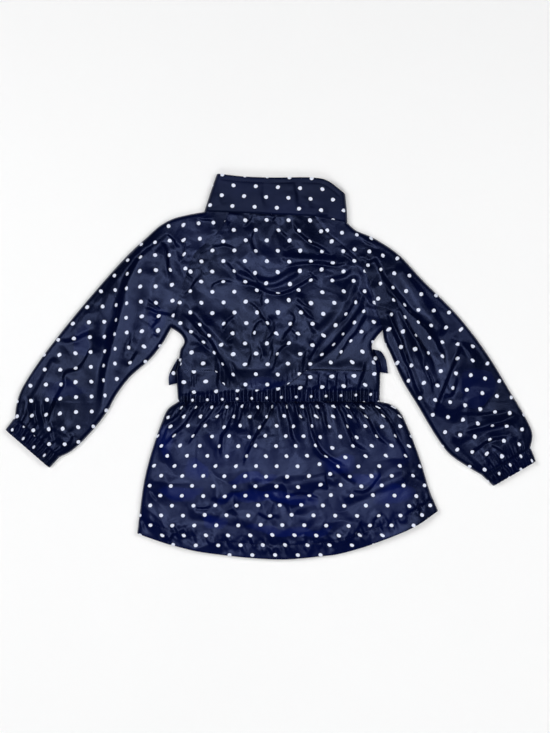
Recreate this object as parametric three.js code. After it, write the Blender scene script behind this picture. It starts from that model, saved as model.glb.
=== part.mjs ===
// A toddler's raincoat with raglan sleeves, a stand collar, an elastic waist and a short flared
// skirt, lying flat on its front with its back up, its sleeves out to the sides and down.
// Millimetres. +X runs to the right as one looks down on it with the collar away, +Y runs towards the
// collar and +Z is up. The origin is on the surface it lies on, under the middle of its outline.
import * as THREE from "three";

// Cloth, seams and the space between the layers
const CLOTH = 1.3; // shell cloth with its seam allowances
const FRONT_CLOTH = 1.5; // the layer that lies on the surface
const COLLAR_CLOTH = 2; // two layers with a stiffener
const SEAM = 0.3; // gap between neighbouring pieces
const HOLLOW = 5; // clear height between front and back where they lie flattest
const ROLL = 9; // width over which the back rolls down to a side edge
const RIM = FRONT_CLOTH + SEAM; // height of the back's lower edge
const RISE = HOLLOW + CLOTH - SEAM; // from that edge up to the flattest part of the back
const LOFT = 3; // how much higher loose cloth stands away from the edges
const LOFT_REACH = 34; // distance from an edge at which it is fully lofted

// Elastic gathers and their ridges
const WAIST_GATHERS = 46;
const CUFF_GATHERS = 13;
const SKIRT_PLEATS = 16;
const SLEEVE_PLEATS = 6;
const GATHER_HEIGHT = 1.3;
const PLEAT_HEIGHT = 2.6;

// Levels across the body, and the bands
const WAIST_TOP = -5.5; // seam above the waistband
const WAIST_BOTTOM = -47.5; // seam below it
const ELASTIC_SHARE = 0.45; // the part of the waistband's height, from its lower edge, that is gathered
const SKIRT_DEPTH = 205; // from the waistband to the hem along its middle
const HEM_BAND = 18; // turned-up hem
const HEM_STEP = 0.7; // how much thicker the turned-up hem is
const SLUMP_LIFT = 3.6; // the loose back stands this much higher where it hangs over the waistband
const PLACKET_WIDTH = 30;
const INSET_REACH = 0.075; // share of a row from an edge within which its inner face is drawn in

// Outlines, each from a few points on the laid garment. Left and right are as it lies.
const CUFF_END_LEFT = [[-357.5, -85], [-298, -136.5]];
const CUFF_SEAM_LEFT = [[-345, -68.5], [-285, -122.5]];
const CUFF_END_RIGHT = [[357.5, -127.5], [300, -161]];
const CUFF_SEAM_RIGHT = [[350.5, -109], [284.5, -146.5]];
const SHOULDER_LEFT = smooth([
  [-345, -68.5], [-343, -52], [-337, -33], [-318, -1.5], [-284.5, 43.5], [-240, 97.5],
  [-191.5, 151.5], [-167, 174], [-149.5, 189.5], [-132, 199], [-111.5, 204.5], [-89.5, 208.5],
]);
const UNDERARM_LEFT = smooth([
  [-285, -122.5], [-268, -113.5], [-240, -86], [-221, -61.5], [-207.5, -37.5],
  [-188.5, -13], [-164.5, 8], [-146.5, 30], [-134, 52],
]);
const SHOULDER_RIGHT = smooth([
  [350.5, -109], [353, -91.5], [346, -73.5], [321.5, -32], [292, 16.5], [253, 67.5],
  [203, 118], [172, 151], [138, 173.5], [114, 184], [103.5, 193.5],
]);
const UNDERARM_RIGHT = smooth([
  [284.5, -146.5], [263.5, -134], [240.5, -117.5], [223, -94], [199, -54],
  [177.5, -18.5], [160.5, 19], [153, 34.5], [151, 49],
]);
// Raglan seams, from the neck to the underarm, used as they are so that both sides of a seam match
const RAGLAN_LEFT = [
  [-56.5, 207], [-68.5, 184], [-86, 167.5], [-103.5, 150], [-114.5, 122], [-123, 93.5], [-129, 70.5], [-134, 52],
];
const RAGLAN_RIGHT = [
  [59, 202], [75, 181.5], [95.5, 164.5], [114, 147.5], [128.5, 124.5], [137, 99], [144, 73.5], [151, 49],
];
const SIDE_LEFT = smooth([[-134, 52], [-121, 42.5], [-116.5, 33], [-122, 22], [-124, 8.5], [-128, WAIST_TOP]]);
const SIDE_RIGHT = smooth([[151, 49], [143, 39.5], [136.5, 27.5], [139.5, 18], [146, 7.5], [148, WAIST_TOP]]);
const WAIST_LEFT = [[-128, WAIST_TOP], [-125, WAIST_BOTTOM]];
const WAIST_RIGHT = [[148, WAIST_TOP], [147, WAIST_BOTTOM]];
const FLARE_LEFT = smooth([
  [-125, WAIST_BOTTOM], [-138.5, -57.5], [-148, -78], [-160, -113], [-170.5, -153.5], [-176.5, -196.5], [-180, -225],
]);
const FLARE_RIGHT = smooth([
  [147, WAIST_BOTTOM], [160, -50.5], [173, -60], [186.5, -86], [203.5, -132], [213.5, -165.5], [225.5, -194.5],
]);
const HEM = smooth([
  [-180, -225], [-144, -237], [-101, -248], [-57.5, -254.5], [-14.5, -258.5], [19.5, -259.5],
  [56, -256.5], [93.5, -252], [142, -237], [193.5, -215.5], [225.5, -194.5],
]);
// Lower edge of the back, which slumps over the waistband in the middle
const SLUMP = smooth([
  [-128, WAIST_TOP], [-100, -5.5], [-74, -6], [-59, -24], [-38.5, -29], [-18.5, -31], [2, -28],
  [22, -23], [39.5, -11.5], [53, -5], [100.5, -4.5], [148, WAIST_TOP],
]);
const COLLAR_TOP = smooth([[-72.5, 259.5], [-37.5, 255.5], [-1, 254], [60, 253.7], [76, 250], [100.5, 232]]);
const COLLAR_LEFT = [[-89.5, 208.5], [-79, 241], [-72.5, 259.5]];
const COLLAR_RIGHT = [[103.5, 193.5], [102.5, 212], [100.5, 232]];
const NECK = [[-89.5, 208.5], [-56.5, 207], [59, 202], [103.5, 193.5]];
const NECK_Y = 205; // the neck's and the hem's heights at the centre front
const HEM_Y = -259;
const CENTRE_NECK = 1; // X of the centre front there: the skirt lies skewed to the right
const CENTRE_HEM = 22.5;

// Side edges, where front and back meet and the back rolls down
const CLOSED_EDGES = [
  SHOULDER_LEFT, UNDERARM_LEFT, SIDE_LEFT, WAIST_LEFT, FLARE_LEFT,
  SHOULDER_RIGHT, UNDERARM_RIGHT, SIDE_RIGHT, WAIST_RIGHT, FLARE_RIGHT,
  [...CUFF_SEAM_LEFT.slice(0, 1), ...CUFF_END_LEFT.slice(0, 1)],
  [...CUFF_SEAM_LEFT.slice(1), ...CUFF_END_LEFT.slice(1)],
  [...CUFF_SEAM_RIGHT.slice(0, 1), ...CUFF_END_RIGHT.slice(0, 1)],
  [...CUFF_SEAM_RIGHT.slice(1), ...CUFF_END_RIGHT.slice(1)],
];

// Seams that hold the cloth down
const TIGHT_SEAMS = [
  CUFF_SEAM_LEFT, CUFF_SEAM_RIGHT, NECK, [WAIST_LEFT[0], WAIST_RIGHT[0]], [WAIST_LEFT[1], WAIST_RIGHT[1]],
];

// The largest folds: where each runs, half its width, and its height above (or depth below) the loft
const COLUMNS = ["x1", "y1", "x2", "y2", "half", "rise"];
const FOLDS = table(COLUMNS, [
  // back
  [-124, 58, -78, 30, 10, -3.2],
  [-78, 30, -56, -4, 13, -3.2],
  [-100, 72, -58, 28, 12, 2.4],
  [-122, 38, -84, 6, 9, 1.8],
  [137, 120, 96, 42, 15, -3.2],
  [96, 42, 38, -8, 12, -3.2],
  [110, 112, 60, 36, 13, 3],
  [128, 70, 88, 8, 10, 2.2],
  [112, 28, 66, -2, 7, -2.6],
  [-51, 113, -1, 98, 8, -3],
  [-1, 98, 44, 111, 8, -3],
  [-46, 126, 38, 116, 10, 1.6],
  [33, 181, 84, 150, 7, -2.8],
  [30, 133, 90, 134, 7, -2],
  [20, 148, 84, 143, 8, 1.4],
  [-95, 138, -86, 112, 7, -2.2],
  [-12, 78, -24, 46, 8, -2.4],
  [14, 70, 8, 30, 8, -2.4],
  [0, 62, -6, 18, 9, 2.2],
  [40, 84, 56, 52, 8, 1.8],
  [-30, 198, -18, 178, 7, -2],
  // left sleeve
  [-128, 194, -172, 163, 11, -3.2],
  [-172, 163, -204, 90, 13, -3.2],
  [-204, 90, -224, -5, 13, -3.2],
  [-224, -5, -234, -64, 9, -2.6],
  [-180, 172, -236, 80, 12, 2.2],
  [-236, 80, -262, 0, 15, 1.8],
  [-156, 148, -184, 62, 11, 2.4],
  [-184, 62, -204, -14, 11, 1.8],
  [-143, 157, -132, 110, 7, -2.4],
  [-180, 82, -146, 66, 7, -2.6],
  [-278, -16, -305, -80, 9, -3],
  [-274, -66, -264, -100, 8, -2.6],
  [-292, 2, -322, -56, 10, 1.8],
  // right sleeve
  [112, 178, 154, 138, 9, -3],
  [154, 138, 190, 76, 12, -3.2],
  [190, 76, 240, -8, 10, -3.2],
  [166, 90, 208, -25, 9, -2.8],
  [155, 62, 194, -44, 7, -2.2],
  [178, 128, 226, 52, 13, 2.6],
  [178, 74, 222, -22, 8, 2.4],
  [162, 66, 200, -34, 6, 2],
  [240, -109, 296, -87, 8, -3],
  [296, -87, 338, -80, 8, -2.8],
  [252, -94, 326, -66, 9, 2],
  [216, -48, 300, -58, 10, -1.6],
  // skirt
  [-92, -54, -143, -99, 12, -2.6],
  [-44, -62, -66, -113, 9, -2.4],
  [6, -56, -18, -99, 8, -2.2],
  [87, -54, 107, -113, 9, -2.4],
  [121, -58, 157, -126, 10, -2.4],
  [56, -103, 118, -157, 11, -3],
  [60, -124, 80, -167, 8, -2.4],
  [-41, -106, -89, -160, 10, -2.8],
  [13, -178, 94, -167, 9, -2.2],
  [-149, -180, -129, -211, 9, -2.2],
  [-20, -158, 84, -150, 12, 1.8],
  [-96, -196, -30, -206, 13, 1.6],
  [104, -176, 176, -150, 12, 1.6],
]);

// Tables, curves and distances

// Rows of numbers as objects with named columns.
function table(columns, rows) {
  return rows.map((row) => Object.fromEntries(columns.map((name, i) => [name, row[i]])));
}

// A soft curve through a few points, as a fine polyline.
function smooth(points) {
  const curve = new THREE.CatmullRomCurve3(points.map(([x, y]) => new THREE.Vector3(x, y, 0)), false, "centripetal");
  return curve.getSpacedPoints(6 * points.length).map((p) => [p.x, p.y]);
}

// The point at a share of a polyline's length.
function along(line, share) {
  const steps = line.slice(1).map((p, i) => Math.hypot(p[0] - line[i][0], p[1] - line[i][1]));
  let left = clamp(share) * steps.reduce((a, b) => a + b, 0);
  for (let i = 0; i < steps.length; i++) {
    if (left <= steps[i] || i === steps.length - 1) return mix(line[i], line[i + 1], clamp(left / steps[i]));
    left -= steps[i];
  }
}

// The shares of a polyline's length at its own points.
function sharesOf(line) {
  const reach = [0];
  line.slice(1).forEach((p, i) => reach.push(reach[i] + Math.hypot(p[0] - line[i][0], p[1] - line[i][1])));
  return reach.map((r) => r / reach[reach.length - 1]);
}

function clamp(x) {
  return Math.min(1, Math.max(0, x));
}

function mix(a, b, share) {
  return a.map((v, i) => v + (b[i] - v) * share);
}

function soft(x) {
  const t = clamp(x);
  return t * t * (3 - 2 * t);
}

function shift(line, dx, dy) {
  return line.map(([x, y]) => [x + dx, y + dy]);
}

// Distance from a point to a segment.
function toSegment([x, y], [ax, ay], [bx, by]) {
  const lx = bx - ax;
  const ly = by - ay;
  const t = clamp(((x - ax) * lx + (y - ay) * ly) / (lx * lx + ly * ly));
  return Math.hypot(x - ax - t * lx, y - ay - t * ly);
}

function toLines(p, lines) {
  let nearest = Infinity;
  for (const line of lines) {
    for (let i = 1; i < line.length; i++) nearest = Math.min(nearest, toSegment(p, line[i - 1], line[i]));
  }
  return nearest;
}

function toClosedEdge(p) {
  return toLines(p, CLOSED_EDGES);
}

// The shape of the back

// A quarter round: 0 at an edge, upright there, and 1 where it has levelled out.
function quarterRound(x) {
  return Math.sqrt(1 - (1 - clamp(x)) ** 2);
}

// How far loose cloth stands above its flattest level at a point, from loft and folds. A band is
// drawn flat by its elastic, and a piece's lift is the least that it may be.
function looseness(p, piece) {
  if (piece.band) return 0;
  const d = toClosedEdge(p);
  let h = LOFT * soft(d / LOFT_REACH) * (0.3 + 0.7 * soft(toLines(p, TIGHT_SEAMS) / LOFT_REACH));
  for (const f of FOLDS) {
    const away = toSegment(p, [f.x1, f.y1], [f.x2, f.y2]) / f.half;
    if (away < 1) h += f.rise * 0.5 * (1 + Math.cos(Math.PI * away));
  }
  h = Math.max(h, 0) * soft(d / (2.2 * ROLL));
  return Math.max(h, piece.lift ? piece.lift(p) : 0);
}

// Heights of a piece's outer and inner faces. The outer point lies over p, the inner one over q.
function outerHeight(p, piece) {
  return RIM + RISE * quarterRound(toClosedEdge(p) / ROLL) + looseness(p, piece);
}

function innerHeight(q, piece) {
  const step = 1;
  const h = looseness(q, piece);
  const sx = (looseness([q[0] + step, q[1]], piece) - h) / step;
  const sy = (looseness([q[0], q[1] + step], piece) - h) / step;
  const steeper = CLOTH * (Math.sqrt(1 + sx * sx + sy * sy) - 1);
  const level = RIM + (RISE - CLOTH) * quarterRound((toClosedEdge(q) - CLOTH) / (ROLL - CLOTH));
  return level + h - Math.min(steeper, h, CLOTH);
}

// Surfaces

// A patch between four border lines: start and end run across it, left and right along it. The
// paces say how fast its rows move along left and right, and a hold over 1 keeps the shape of end
// close to it.
function patch({ start, end, left, right, leftPace = (t) => t, rightPace = (t) => t, hold = 1 }) {
  const corner = { a: along(start, 0), b: along(start, 1), c: along(end, 0), d: along(end, 1) };
  return (s, t) => {
    const across = mix(along(start, s), along(end, s), t ** hold);
    const lengthwise = mix(along(left, leftPace(t)), along(right, rightPace(t)), s);
    const corners = mix(mix(corner.a, corner.b, s), mix(corner.c, corner.d, s), t ** hold);
    return [0, 1].map((i) => across[i] + lengthwise[i] - corners[i]);
  };
}

// The inner face's point under a share across a row: drawn in by the cloth's thickness at both ends.
function inset(plan, s, t, thickness) {
  const [ax, ay] = plan(0, t);
  const [bx, by] = plan(1, t);
  const share = thickness / Math.hypot(bx - ax, by - ay);
  const nearStart = clamp(1 - s / INSET_REACH);
  const nearEnd = clamp(1 - (1 - s) / INSET_REACH);
  return plan(s + share * (nearStart - nearEnd), t);
}

// A closed wall between an outer and an inner grid of points, [row][column]. In a ring the last
// column joins the first.
function wall(outer, inner, ring) {
  const rows = outer.length;
  const columns = outer[0].length;
  const positions = [...outer.flat(), ...inner.flat()].flat();
  const out = (r, c) => r * columns + (c % columns);
  const inn = (r, c) => rows * columns + out(r, c);
  const index = [];
  const quad = (a, b, c, d) => index.push(a, b, c, a, c, d);
  const last = ring ? columns : columns - 1;
  for (let r = 0; r < rows - 1; r++) {
    for (let c = 0; c < last; c++) {
      quad(out(r, c), out(r, c + 1), out(r + 1, c + 1), out(r + 1, c));
      quad(inn(r, c), inn(r + 1, c), inn(r + 1, c + 1), inn(r, c + 1));
    }
    if (!ring) {
      quad(out(r, 0), out(r + 1, 0), inn(r + 1, 0), inn(r, 0));
      quad(out(r, last), inn(r, last), inn(r + 1, last), out(r + 1, last));
    }
  }
  for (let c = 0; c < last; c++) {
    quad(out(0, c), inn(0, c), inn(0, c + 1), out(0, c + 1));
    quad(out(rows - 1, c), out(rows - 1, c + 1), inn(rows - 1, c + 1), inn(rows - 1, c));
  }
  const geometry = new THREE.BufferGeometry();
  geometry.setAttribute("position", new THREE.Float32BufferAttribute(positions, 3));
  geometry.setIndex(volume(positions, index) < 0 ? index.reverse() : index);
  return geometry;
}

function volume(positions, index) {
  const at = (i) => new THREE.Vector3(...positions.slice(3 * index[i], 3 * index[i] + 3));
  let sum = 0;
  for (let i = 0; i < index.length; i += 3) sum += at(i).dot(at(i + 1).cross(at(i + 2)));
  return sum / 6;
}

// A flat plate of cloth lying on the surface, from its outline.
function plate(outline) {
  const shape = new THREE.Shape(outline.map(([x, y]) => new THREE.Vector2(x, y)));
  return new THREE.ExtrudeGeometry(shape, { depth: FRONT_CLOTH, bevelEnabled: false });
}

function shares(count) {
  return Array.from({ length: count + 1 }, (_, i) => i / count);
}

// Shares from one corner of a row to the next, no further apart than a widest step.
function divided(from, to, widest) {
  const steps = Math.ceil((to - from) / widest);
  return shares(steps).slice(1).map((s) => from + (to - from) * s);
}

// Shares across a piece, close together next to its two edges where it rolls down.
function edged(edge, middle) {
  return [...edge, ...middle.filter((s) => s > edge.at(-1) && s < 1 - edge.at(-1)), ...edge.map((s) => 1 - s).reverse()];
}

// A flattened tube: its back from one edge over to the other, then its front, flat below.
function tube(plan, piece, rows, backShares, frontShares, rowShape = () => 0) {
  const outer = [];
  const inner = [];
  for (const t of rows) {
    const back = backShares.map((s) => {
      const p = plan(s, t);
      const q = inset(plan, s, t, CLOTH);
      const more = rowShape(s, t);
      return [[...p, outerHeight(p, piece) + more], [...q, innerHeight(q, piece) + more]];
    });
    const front = frontShares.map((s) => {
      const q = inset(plan, s, t, CLOTH);
      return [[...q, 0], [...q, FRONT_CLOTH]];
    });
    outer.push([...back, ...front].map((pair) => pair[0]));
    inner.push([...back, ...front].map((pair) => pair[1]));
  }
  return wall(outer, inner, true);
}

// The pieces

const MATERIAL = new THREE.MeshStandardMaterial({ color: 0x141a33, roughness: 0.42, metalness: 0 });
const COLLAR_MATERIAL = new THREE.MeshStandardMaterial({ color: 0x161c38, roughness: 0.46, metalness: 0 });
const PLACKET_MATERIAL = new THREE.MeshStandardMaterial({ color: 0x12172e, roughness: 0.5, metalness: 0 });

const coat = new THREE.Group();

function add(name, geometry, material = MATERIAL) {
  const mesh = new THREE.Mesh(geometry, material);
  mesh.name = name;
  coat.add(mesh);
}

// X of the centre front at a height.
function centreAt(y) {
  return CENTRE_NECK + ((NECK_Y - y) / (NECK_Y - HEM_Y)) * (CENTRE_HEM - CENTRE_NECK);
}

// The point of a line parallel to the centre front, an offset away from it, that lies on a curve
// given as Y over X.
function centreEnd(offset, curve) {
  let y = curve(centreAt(0) + offset);
  for (let i = 0; i < 4; i++) y = curve(centreAt(y) + offset);
  return [centreAt(y) + offset, y];
}

// Sleeves: tubes from the cuff seam to the raglan seam, gathered at the cuff and again off the shoulder
const RAGLAN_ROOM = 0.28; // half the gap along a raglan seam, measured across
const SLEEVE_ROWS = [0, 0.03, 0.08, 0.15, 0.23, 0.31, 0.39, 0.47, 0.55, 0.62, 0.69, 0.76, 0.83, 0.89, 0.95, 1];
const SLEEVE_EDGE = [0, 0.012, 0.045];
const SLEEVE_COLUMN = 0.055; // widest share of a row between two columns
const SEAM_CLEARANCE = 0.055; // how far the last rows keep back from the bend of the raglan seam

function sleeve(side) {
  const left = side === "left";
  const raglan = shift(left ? RAGLAN_LEFT : RAGLAN_RIGHT, left ? -RAGLAN_ROOM : RAGLAN_ROOM, 0);
  const shoulder = left ? SHOULDER_LEFT : SHOULDER_RIGHT;
  const end = [shoulder.at(-1), ...raglan];
  const underarm = [...(left ? UNDERARM_LEFT : UNDERARM_RIGHT).slice(0, -1), raglan.at(-1)];
  const fan = patch({
    start: left ? CUFF_SEAM_LEFT : CUFF_SEAM_RIGHT,
    end,
    left: shoulder,
    right: underarm,
    // The rows fan out round the underarm
    leftPace: (t) => 0.6 * t + 0.4 * t * t,
    rightPace: (t) => 1.4 * t - 0.4 * t * t,
    hold: 1.6,
  });
  const plan = (s, t) => fan(s, t < 1 ? t - SEAM_CLEARANCE * soft(s / 0.15) * soft((t - 0.5) / 0.4) : 1);
  const corners = sharesOf(end);
  const between = corners.slice(1).flatMap((s, i) => divided(corners[i], s, SLEEVE_COLUMN));
  const gathers = (s, t) => {
    const wave = Math.sin(Math.PI * SLEEVE_PLEATS * s) ** 2 * Math.sin(Math.PI * s);
    return 0.8 * PLEAT_HEIGHT * wave * soft(1 - t / 0.3);
  };
  const piece = {};
  return tube(plan, piece, SLEEVE_ROWS, edged(SLEEVE_EDGE, between), [...corners].reverse(), gathers);
}
add("sleeve_left", sleeve("left"));
add("sleeve_right", sleeve("right"));

// Cuffs: short elastic tubes, each with its gathers as ridges across its back
function cuff(end, seam) {
  const gap = mix(seam[0], end[0], SEAM / Math.hypot(seam[0][0] - end[0][0], seam[0][1] - end[0][1]));
  const step = [gap[0] - seam[0][0], gap[1] - seam[0][1]];
  const near = shift(seam, ...step);
  const plan = patch({ start: end, end: near, left: [end[0], near[0]], right: [end[1], near[1]] });
  const ridges = (s, t) => {
    const wave = 0.5 * (1 - Math.cos(2 * Math.PI * CUFF_GATHERS * s));
    return GATHER_HEIGHT * wave * soft(8 * s) * soft(8 - 8 * s) * (0.75 + 0.25 * t);
  };
  const piece = { band: true };
  const across = edged([0, 0.01, 0.04], shares(2 * CUFF_GATHERS));
  return tube(plan, piece, [0, 0.12, 0.6, 1], across, [1, 0.5, 0], ridges);
}
add("cuff_left", cuff(CUFF_END_LEFT, CUFF_SEAM_LEFT));
add("cuff_right", cuff(CUFF_END_RIGHT, CUFF_SEAM_RIGHT));

// Back: from the neck down between the raglan seams and the sides, slumping over the waistband
const BACK_EDGE = [0, 0.004, 0.014, 0.033];

function backBodice() {
  const left = [...shift(RAGLAN_LEFT, RAGLAN_ROOM, 0), ...SIDE_LEFT.slice(1)];
  const right = [...shift(RAGLAN_RIGHT, -RAGLAN_ROOM, 0), ...SIDE_RIGHT.slice(1)];
  const lift = ([x, y]) => SLUMP_LIFT * soft((x + 102) / 24) * soft((80 - x) / 24) * soft((34 - y) / 34);
  const piece = { lift };
  const sides = 10;
  const raglanSteps = 2 * (RAGLAN_LEFT.length - 1);
  const rows = [];
  for (let i = 0; i <= raglanSteps; i++) rows.push([raglanPoint(left, i), raglanPoint(right, i), 0]);
  for (let i = 1; i <= sides; i++) rows.push([along(SIDE_LEFT, i / sides), along(SIDE_RIGHT, i / sides), 1]);
  const outer = [];
  const inner = [];
  rows.forEach(([a, b, below], r) => {
    const t = r / (rows.length - 1);
    const place = (s) => {
      const straight = mix(a, b, s);
      const edge = along(SLUMP, s);
      const chord = mix(SLUMP[0], SLUMP.at(-1), s);
      const sag = t ** 3;
      return [straight[0] + sag * (edge[0] - chord[0]), straight[1] + sag * (edge[1] - chord[1])];
    };
    const width = Math.hypot(b[0] - a[0], b[1] - a[1]);
    const tuck = below || r === raglanSteps ? CLOTH / width : 0;
    const under = (s) => s + tuck * (clamp(1 - s / INSET_REACH) - clamp(1 - (1 - s) / INSET_REACH));
    const across = edged(BACK_EDGE, shares(24));
    outer.push(across.map((s) => withHeight(place(s), outerHeight, piece)));
    inner.push(across.map((s) => withHeight(place(under(s)), innerHeight, piece)));
  });
  return wall(outer, inner, false);
}

// A point at a half step along the raglan part of a side line.
function raglanPoint(line, halfSteps) {
  const i = Math.floor(halfSteps / 2);
  return halfSteps % 2 ? mix(line[i], line[i + 1], 0.5) : line[i];
}

function withHeight(p, height, piece) {
  return [...p, height(p, piece)];
}
add("back", backBodice());

// Waistband: round the waist, smooth above and gathered by elastic below, open at the placket
function waistband() {
  const top = WAIST_TOP - SEAM;
  const left = [along(WAIST_LEFT, SEAM / 42), WAIST_LEFT[1]];
  const right = [along(WAIST_RIGHT, SEAM / 42), WAIST_RIGHT[1]];
  const plan = patch({ start: [left[0], right[0]], end: [left[1], right[1]], left, right });
  const ridges = (s, t) => {
    const wave = 0.5 * (1 - Math.cos(2 * Math.PI * WAIST_GATHERS * s));
    const pull = 0.25 + 0.75 * soft((t - 1 + ELASTIC_SHARE + 0.12) / 0.24);
    return GATHER_HEIGHT * wave * pull * soft(20 * s) * soft(20 - 20 * s);
  };
  const piece = { band: true };
  const across = edged([0, 0.004, 0.016], shares(2 * WAIST_GATHERS));
  const outer = [];
  const inner = [];
  for (const t of [0, 0.4, 0.62, 0.9, 1]) {
    const y = top + (WAIST_BOTTOM - top) * t;
    const front = (x) => [[x, y, 0], [x, y, FRONT_CLOTH]];
    const half = PLACKET_WIDTH / 2 + SEAM;
    const [[x0], [x1]] = [plan(0, t), plan(1, t)];
    const back = across.map((s) => {
      const p = plan(s, t);
      const q = inset(plan, s, t, CLOTH);
      const more = ridges(s, t);
      return [[...p, outerHeight(p, piece) + more], [...q, innerHeight(q, piece) + more]];
    });
    const ring = [
      front(centreAt(y) - half), front(x0 + CLOTH), ...back, front(x1 - CLOTH), front(centreAt(y) + half),
    ];
    outer.push(ring.map((pair) => pair[0]));
    inner.push(ring.map((pair) => pair[1]));
  }
  return wall(outer, inner, false);
}
add("waistband", waistband());

// Skirt back: pleats fan out of the waistband and die away towards a turned-up hem
function skirtBack() {
  const top = WAIST_BOTTOM - SEAM;
  const start = [[FLARE_LEFT[0][0], top], [FLARE_RIGHT[0][0], top]];
  const plan = patch({ start, end: HEM, left: [start[0], ...FLARE_LEFT.slice(1)], right: [start[1], ...FLARE_RIGHT.slice(1)] });
  const pleats = (s, t) => {
    const uneven = s + 0.011 * Math.sin(9 * s) - 0.006 * Math.sin(23 * s);
    const wave = 0.5 * (1 - Math.cos(2 * Math.PI * SKIRT_PLEATS * uneven));
    const size = 0.7 + 0.3 * Math.sin(31 * s + 1);
    const fade = soft(12 * s) * soft(12 - 12 * s) * (0.18 + 0.82 * (1 - t) ** 1.6);
    return PLEAT_HEIGHT * wave * size * fade;
  };
  const piece = {};
  const fold = 1 - HEM_BAND / SKIRT_DEPTH;
  const across = edged([0, 0.006, 0.022], shares(3 * SKIRT_PLEATS));
  const outer = [];
  const inner = [];
  for (const t of [0, 0.05, 0.12, 0.2, 0.28, 0.37, 0.46, 0.55, 0.64, 0.73, 0.82, fold - 0.008, fold, 1]) {
    const thick = t >= fold ? HEM_STEP : 0;
    const pair = across.map((s) => {
      const p = plan(s, t);
      const q = inset(plan, s, t, CLOTH);
      const hem = thick * soft(20 * s) * soft(20 - 20 * s);
      return [
        [...p, outerHeight(p, piece) + pleats(s, t) + hem],
        [...q, innerHeight(q, piece) + pleats(s, t)],
      ];
    });
    outer.push(pair.map((both) => both[0]));
    inner.push(pair.map((both) => both[1]));
  }
  return wall(outer, inner, false);
}
add("skirt_back", skirtBack());

// Collar: a flattened stand, its back over its two front ends, open at the centre front
function collar() {
  const gap = 0.4; // along the neck seam
  const plan = patch({
    start: shift(NECK, 0, gap),
    end: COLLAR_TOP,
    left: [shift(COLLAR_LEFT, 0, gap)[0], ...COLLAR_LEFT.slice(1)],
    right: [shift(COLLAR_RIGHT, 0, gap)[0], ...COLLAR_RIGHT.slice(1)],
  });
  const roll = 8;
  const rim = COLLAR_CLOTH + SEAM;
  const rise = HOLLOW + COLLAR_CLOTH - SEAM;
  const bend = (away, less) => rim + (rise - less) * quarterRound((away - less) / (roll - less));
  const ripple = (s, t) => 0.5 * Math.sin(14 * s + 2 * t) * Math.sin(Math.PI * s);
  const corners = sharesOf(NECK);
  const across = edged([0, 0.008, 0.024], [...shares(16), corners[1], corners[2]].sort((a, b) => a - b));
  const middle = 0.475;
  const halfGap = 0.006;
  const outer = [];
  const inner = [];
  for (const t of [0, 0.2, 0.45, 0.7, 0.9, 1]) {
    const width = Math.hypot(...[0, 1].map((i) => plan(1, t)[i] - plan(0, t)[i]));
    const back = across.map((s) => {
      const q = inset(plan, s, t, COLLAR_CLOTH);
      const away = Math.min(s, 1 - s) * width;
      const innerAway = away + COLLAR_CLOTH * clamp(1 - away / (INSET_REACH * width));
      const wave = ripple(s, t) + 0.5 * soft(away / 20);
      return [[...plan(s, t), bend(away, 0) + wave], [...q, bend(innerAway, COLLAR_CLOTH) + Math.max(wave, 0)]];
    });
    const under = (s) => {
      const q = inset(plan, s, t, COLLAR_CLOTH);
      return [[...q, 0], [...q, COLLAR_CLOTH]];
    };
    const leftEnd = [middle - halfGap, corners[1], 0].map(under);
    const rightEnd = [1, corners[2], middle + halfGap].map(under);
    const ring = [...leftEnd, ...back, ...rightEnd];
    outer.push(ring.map((pair) => pair[0]));
    inner.push(ring.map((pair) => pair[1]));
  }
  return wall(outer, inner, false);
}
add("collar", collar(), COLLAR_MATERIAL);

// Fronts: plain panels under the back, either side of the placket
function frontBodice(sign) {
  const raglan = shift(sign < 0 ? RAGLAN_LEFT : RAGLAN_RIGHT, -sign * RAGLAN_ROOM, 0);
  const side = (sign < 0 ? SIDE_LEFT : SIDE_RIGHT).slice(1);
  const half = PLACKET_WIDTH / 2 + SEAM;
  const neck = centreEnd(sign * half, neckLineY);
  return plate([...raglan, ...side, [centreAt(WAIST_TOP) + sign * half, WAIST_TOP], neck]);
}

// Y of the neck seam at an X between the raglan seams.
function neckLineY(x) {
  const [a, b] = [NECK[1], NECK[2]];
  return a[1] + ((x - a[0]) / (b[0] - a[0])) * (b[1] - a[1]);
}

function frontSkirt(sign) {
  const flare = sign < 0 ? FLARE_LEFT : FLARE_RIGHT;
  const top = WAIST_BOTTOM - SEAM;
  const half = PLACKET_WIDTH / 2 + SEAM;
  const hemEnd = centreEnd(sign * half, hemLineY);
  const hem = HEM.filter(([x]) => sign * (x - hemEnd[0]) > 1);
  const hemLine = sign < 0 ? hem : [...hem].reverse();
  return plate([
    [flare[0][0], top], ...flare.slice(1, -1), ...hemLine, hemEnd, [centreAt(top) + sign * half, top],
  ]);
}

// Y of the hem at an X.
function hemLineY(x) {
  const i = HEM.findIndex((p) => p[0] >= x);
  const [a, b] = [HEM[i - 1], HEM[i]];
  return a[1] + ((x - a[0]) / (b[0] - a[0])) * (b[1] - a[1]);
}

add("front_left", frontBodice(-1));
add("front_right", frontBodice(1));
add("skirt_front_left", frontSkirt(-1));
add("skirt_front_right", frontSkirt(1));

// Placket: one strip down the centre front, from the neck seam to the hem
function placket() {
  const half = PLACKET_WIDTH / 2;
  return plate([
    centreEnd(-half, neckLineY), centreEnd(half, neckLineY), centreEnd(half, hemLineY), centreEnd(-half, hemLineY),
  ]);
}
add("placket", placket(), PLACKET_MATERIAL);

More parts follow.
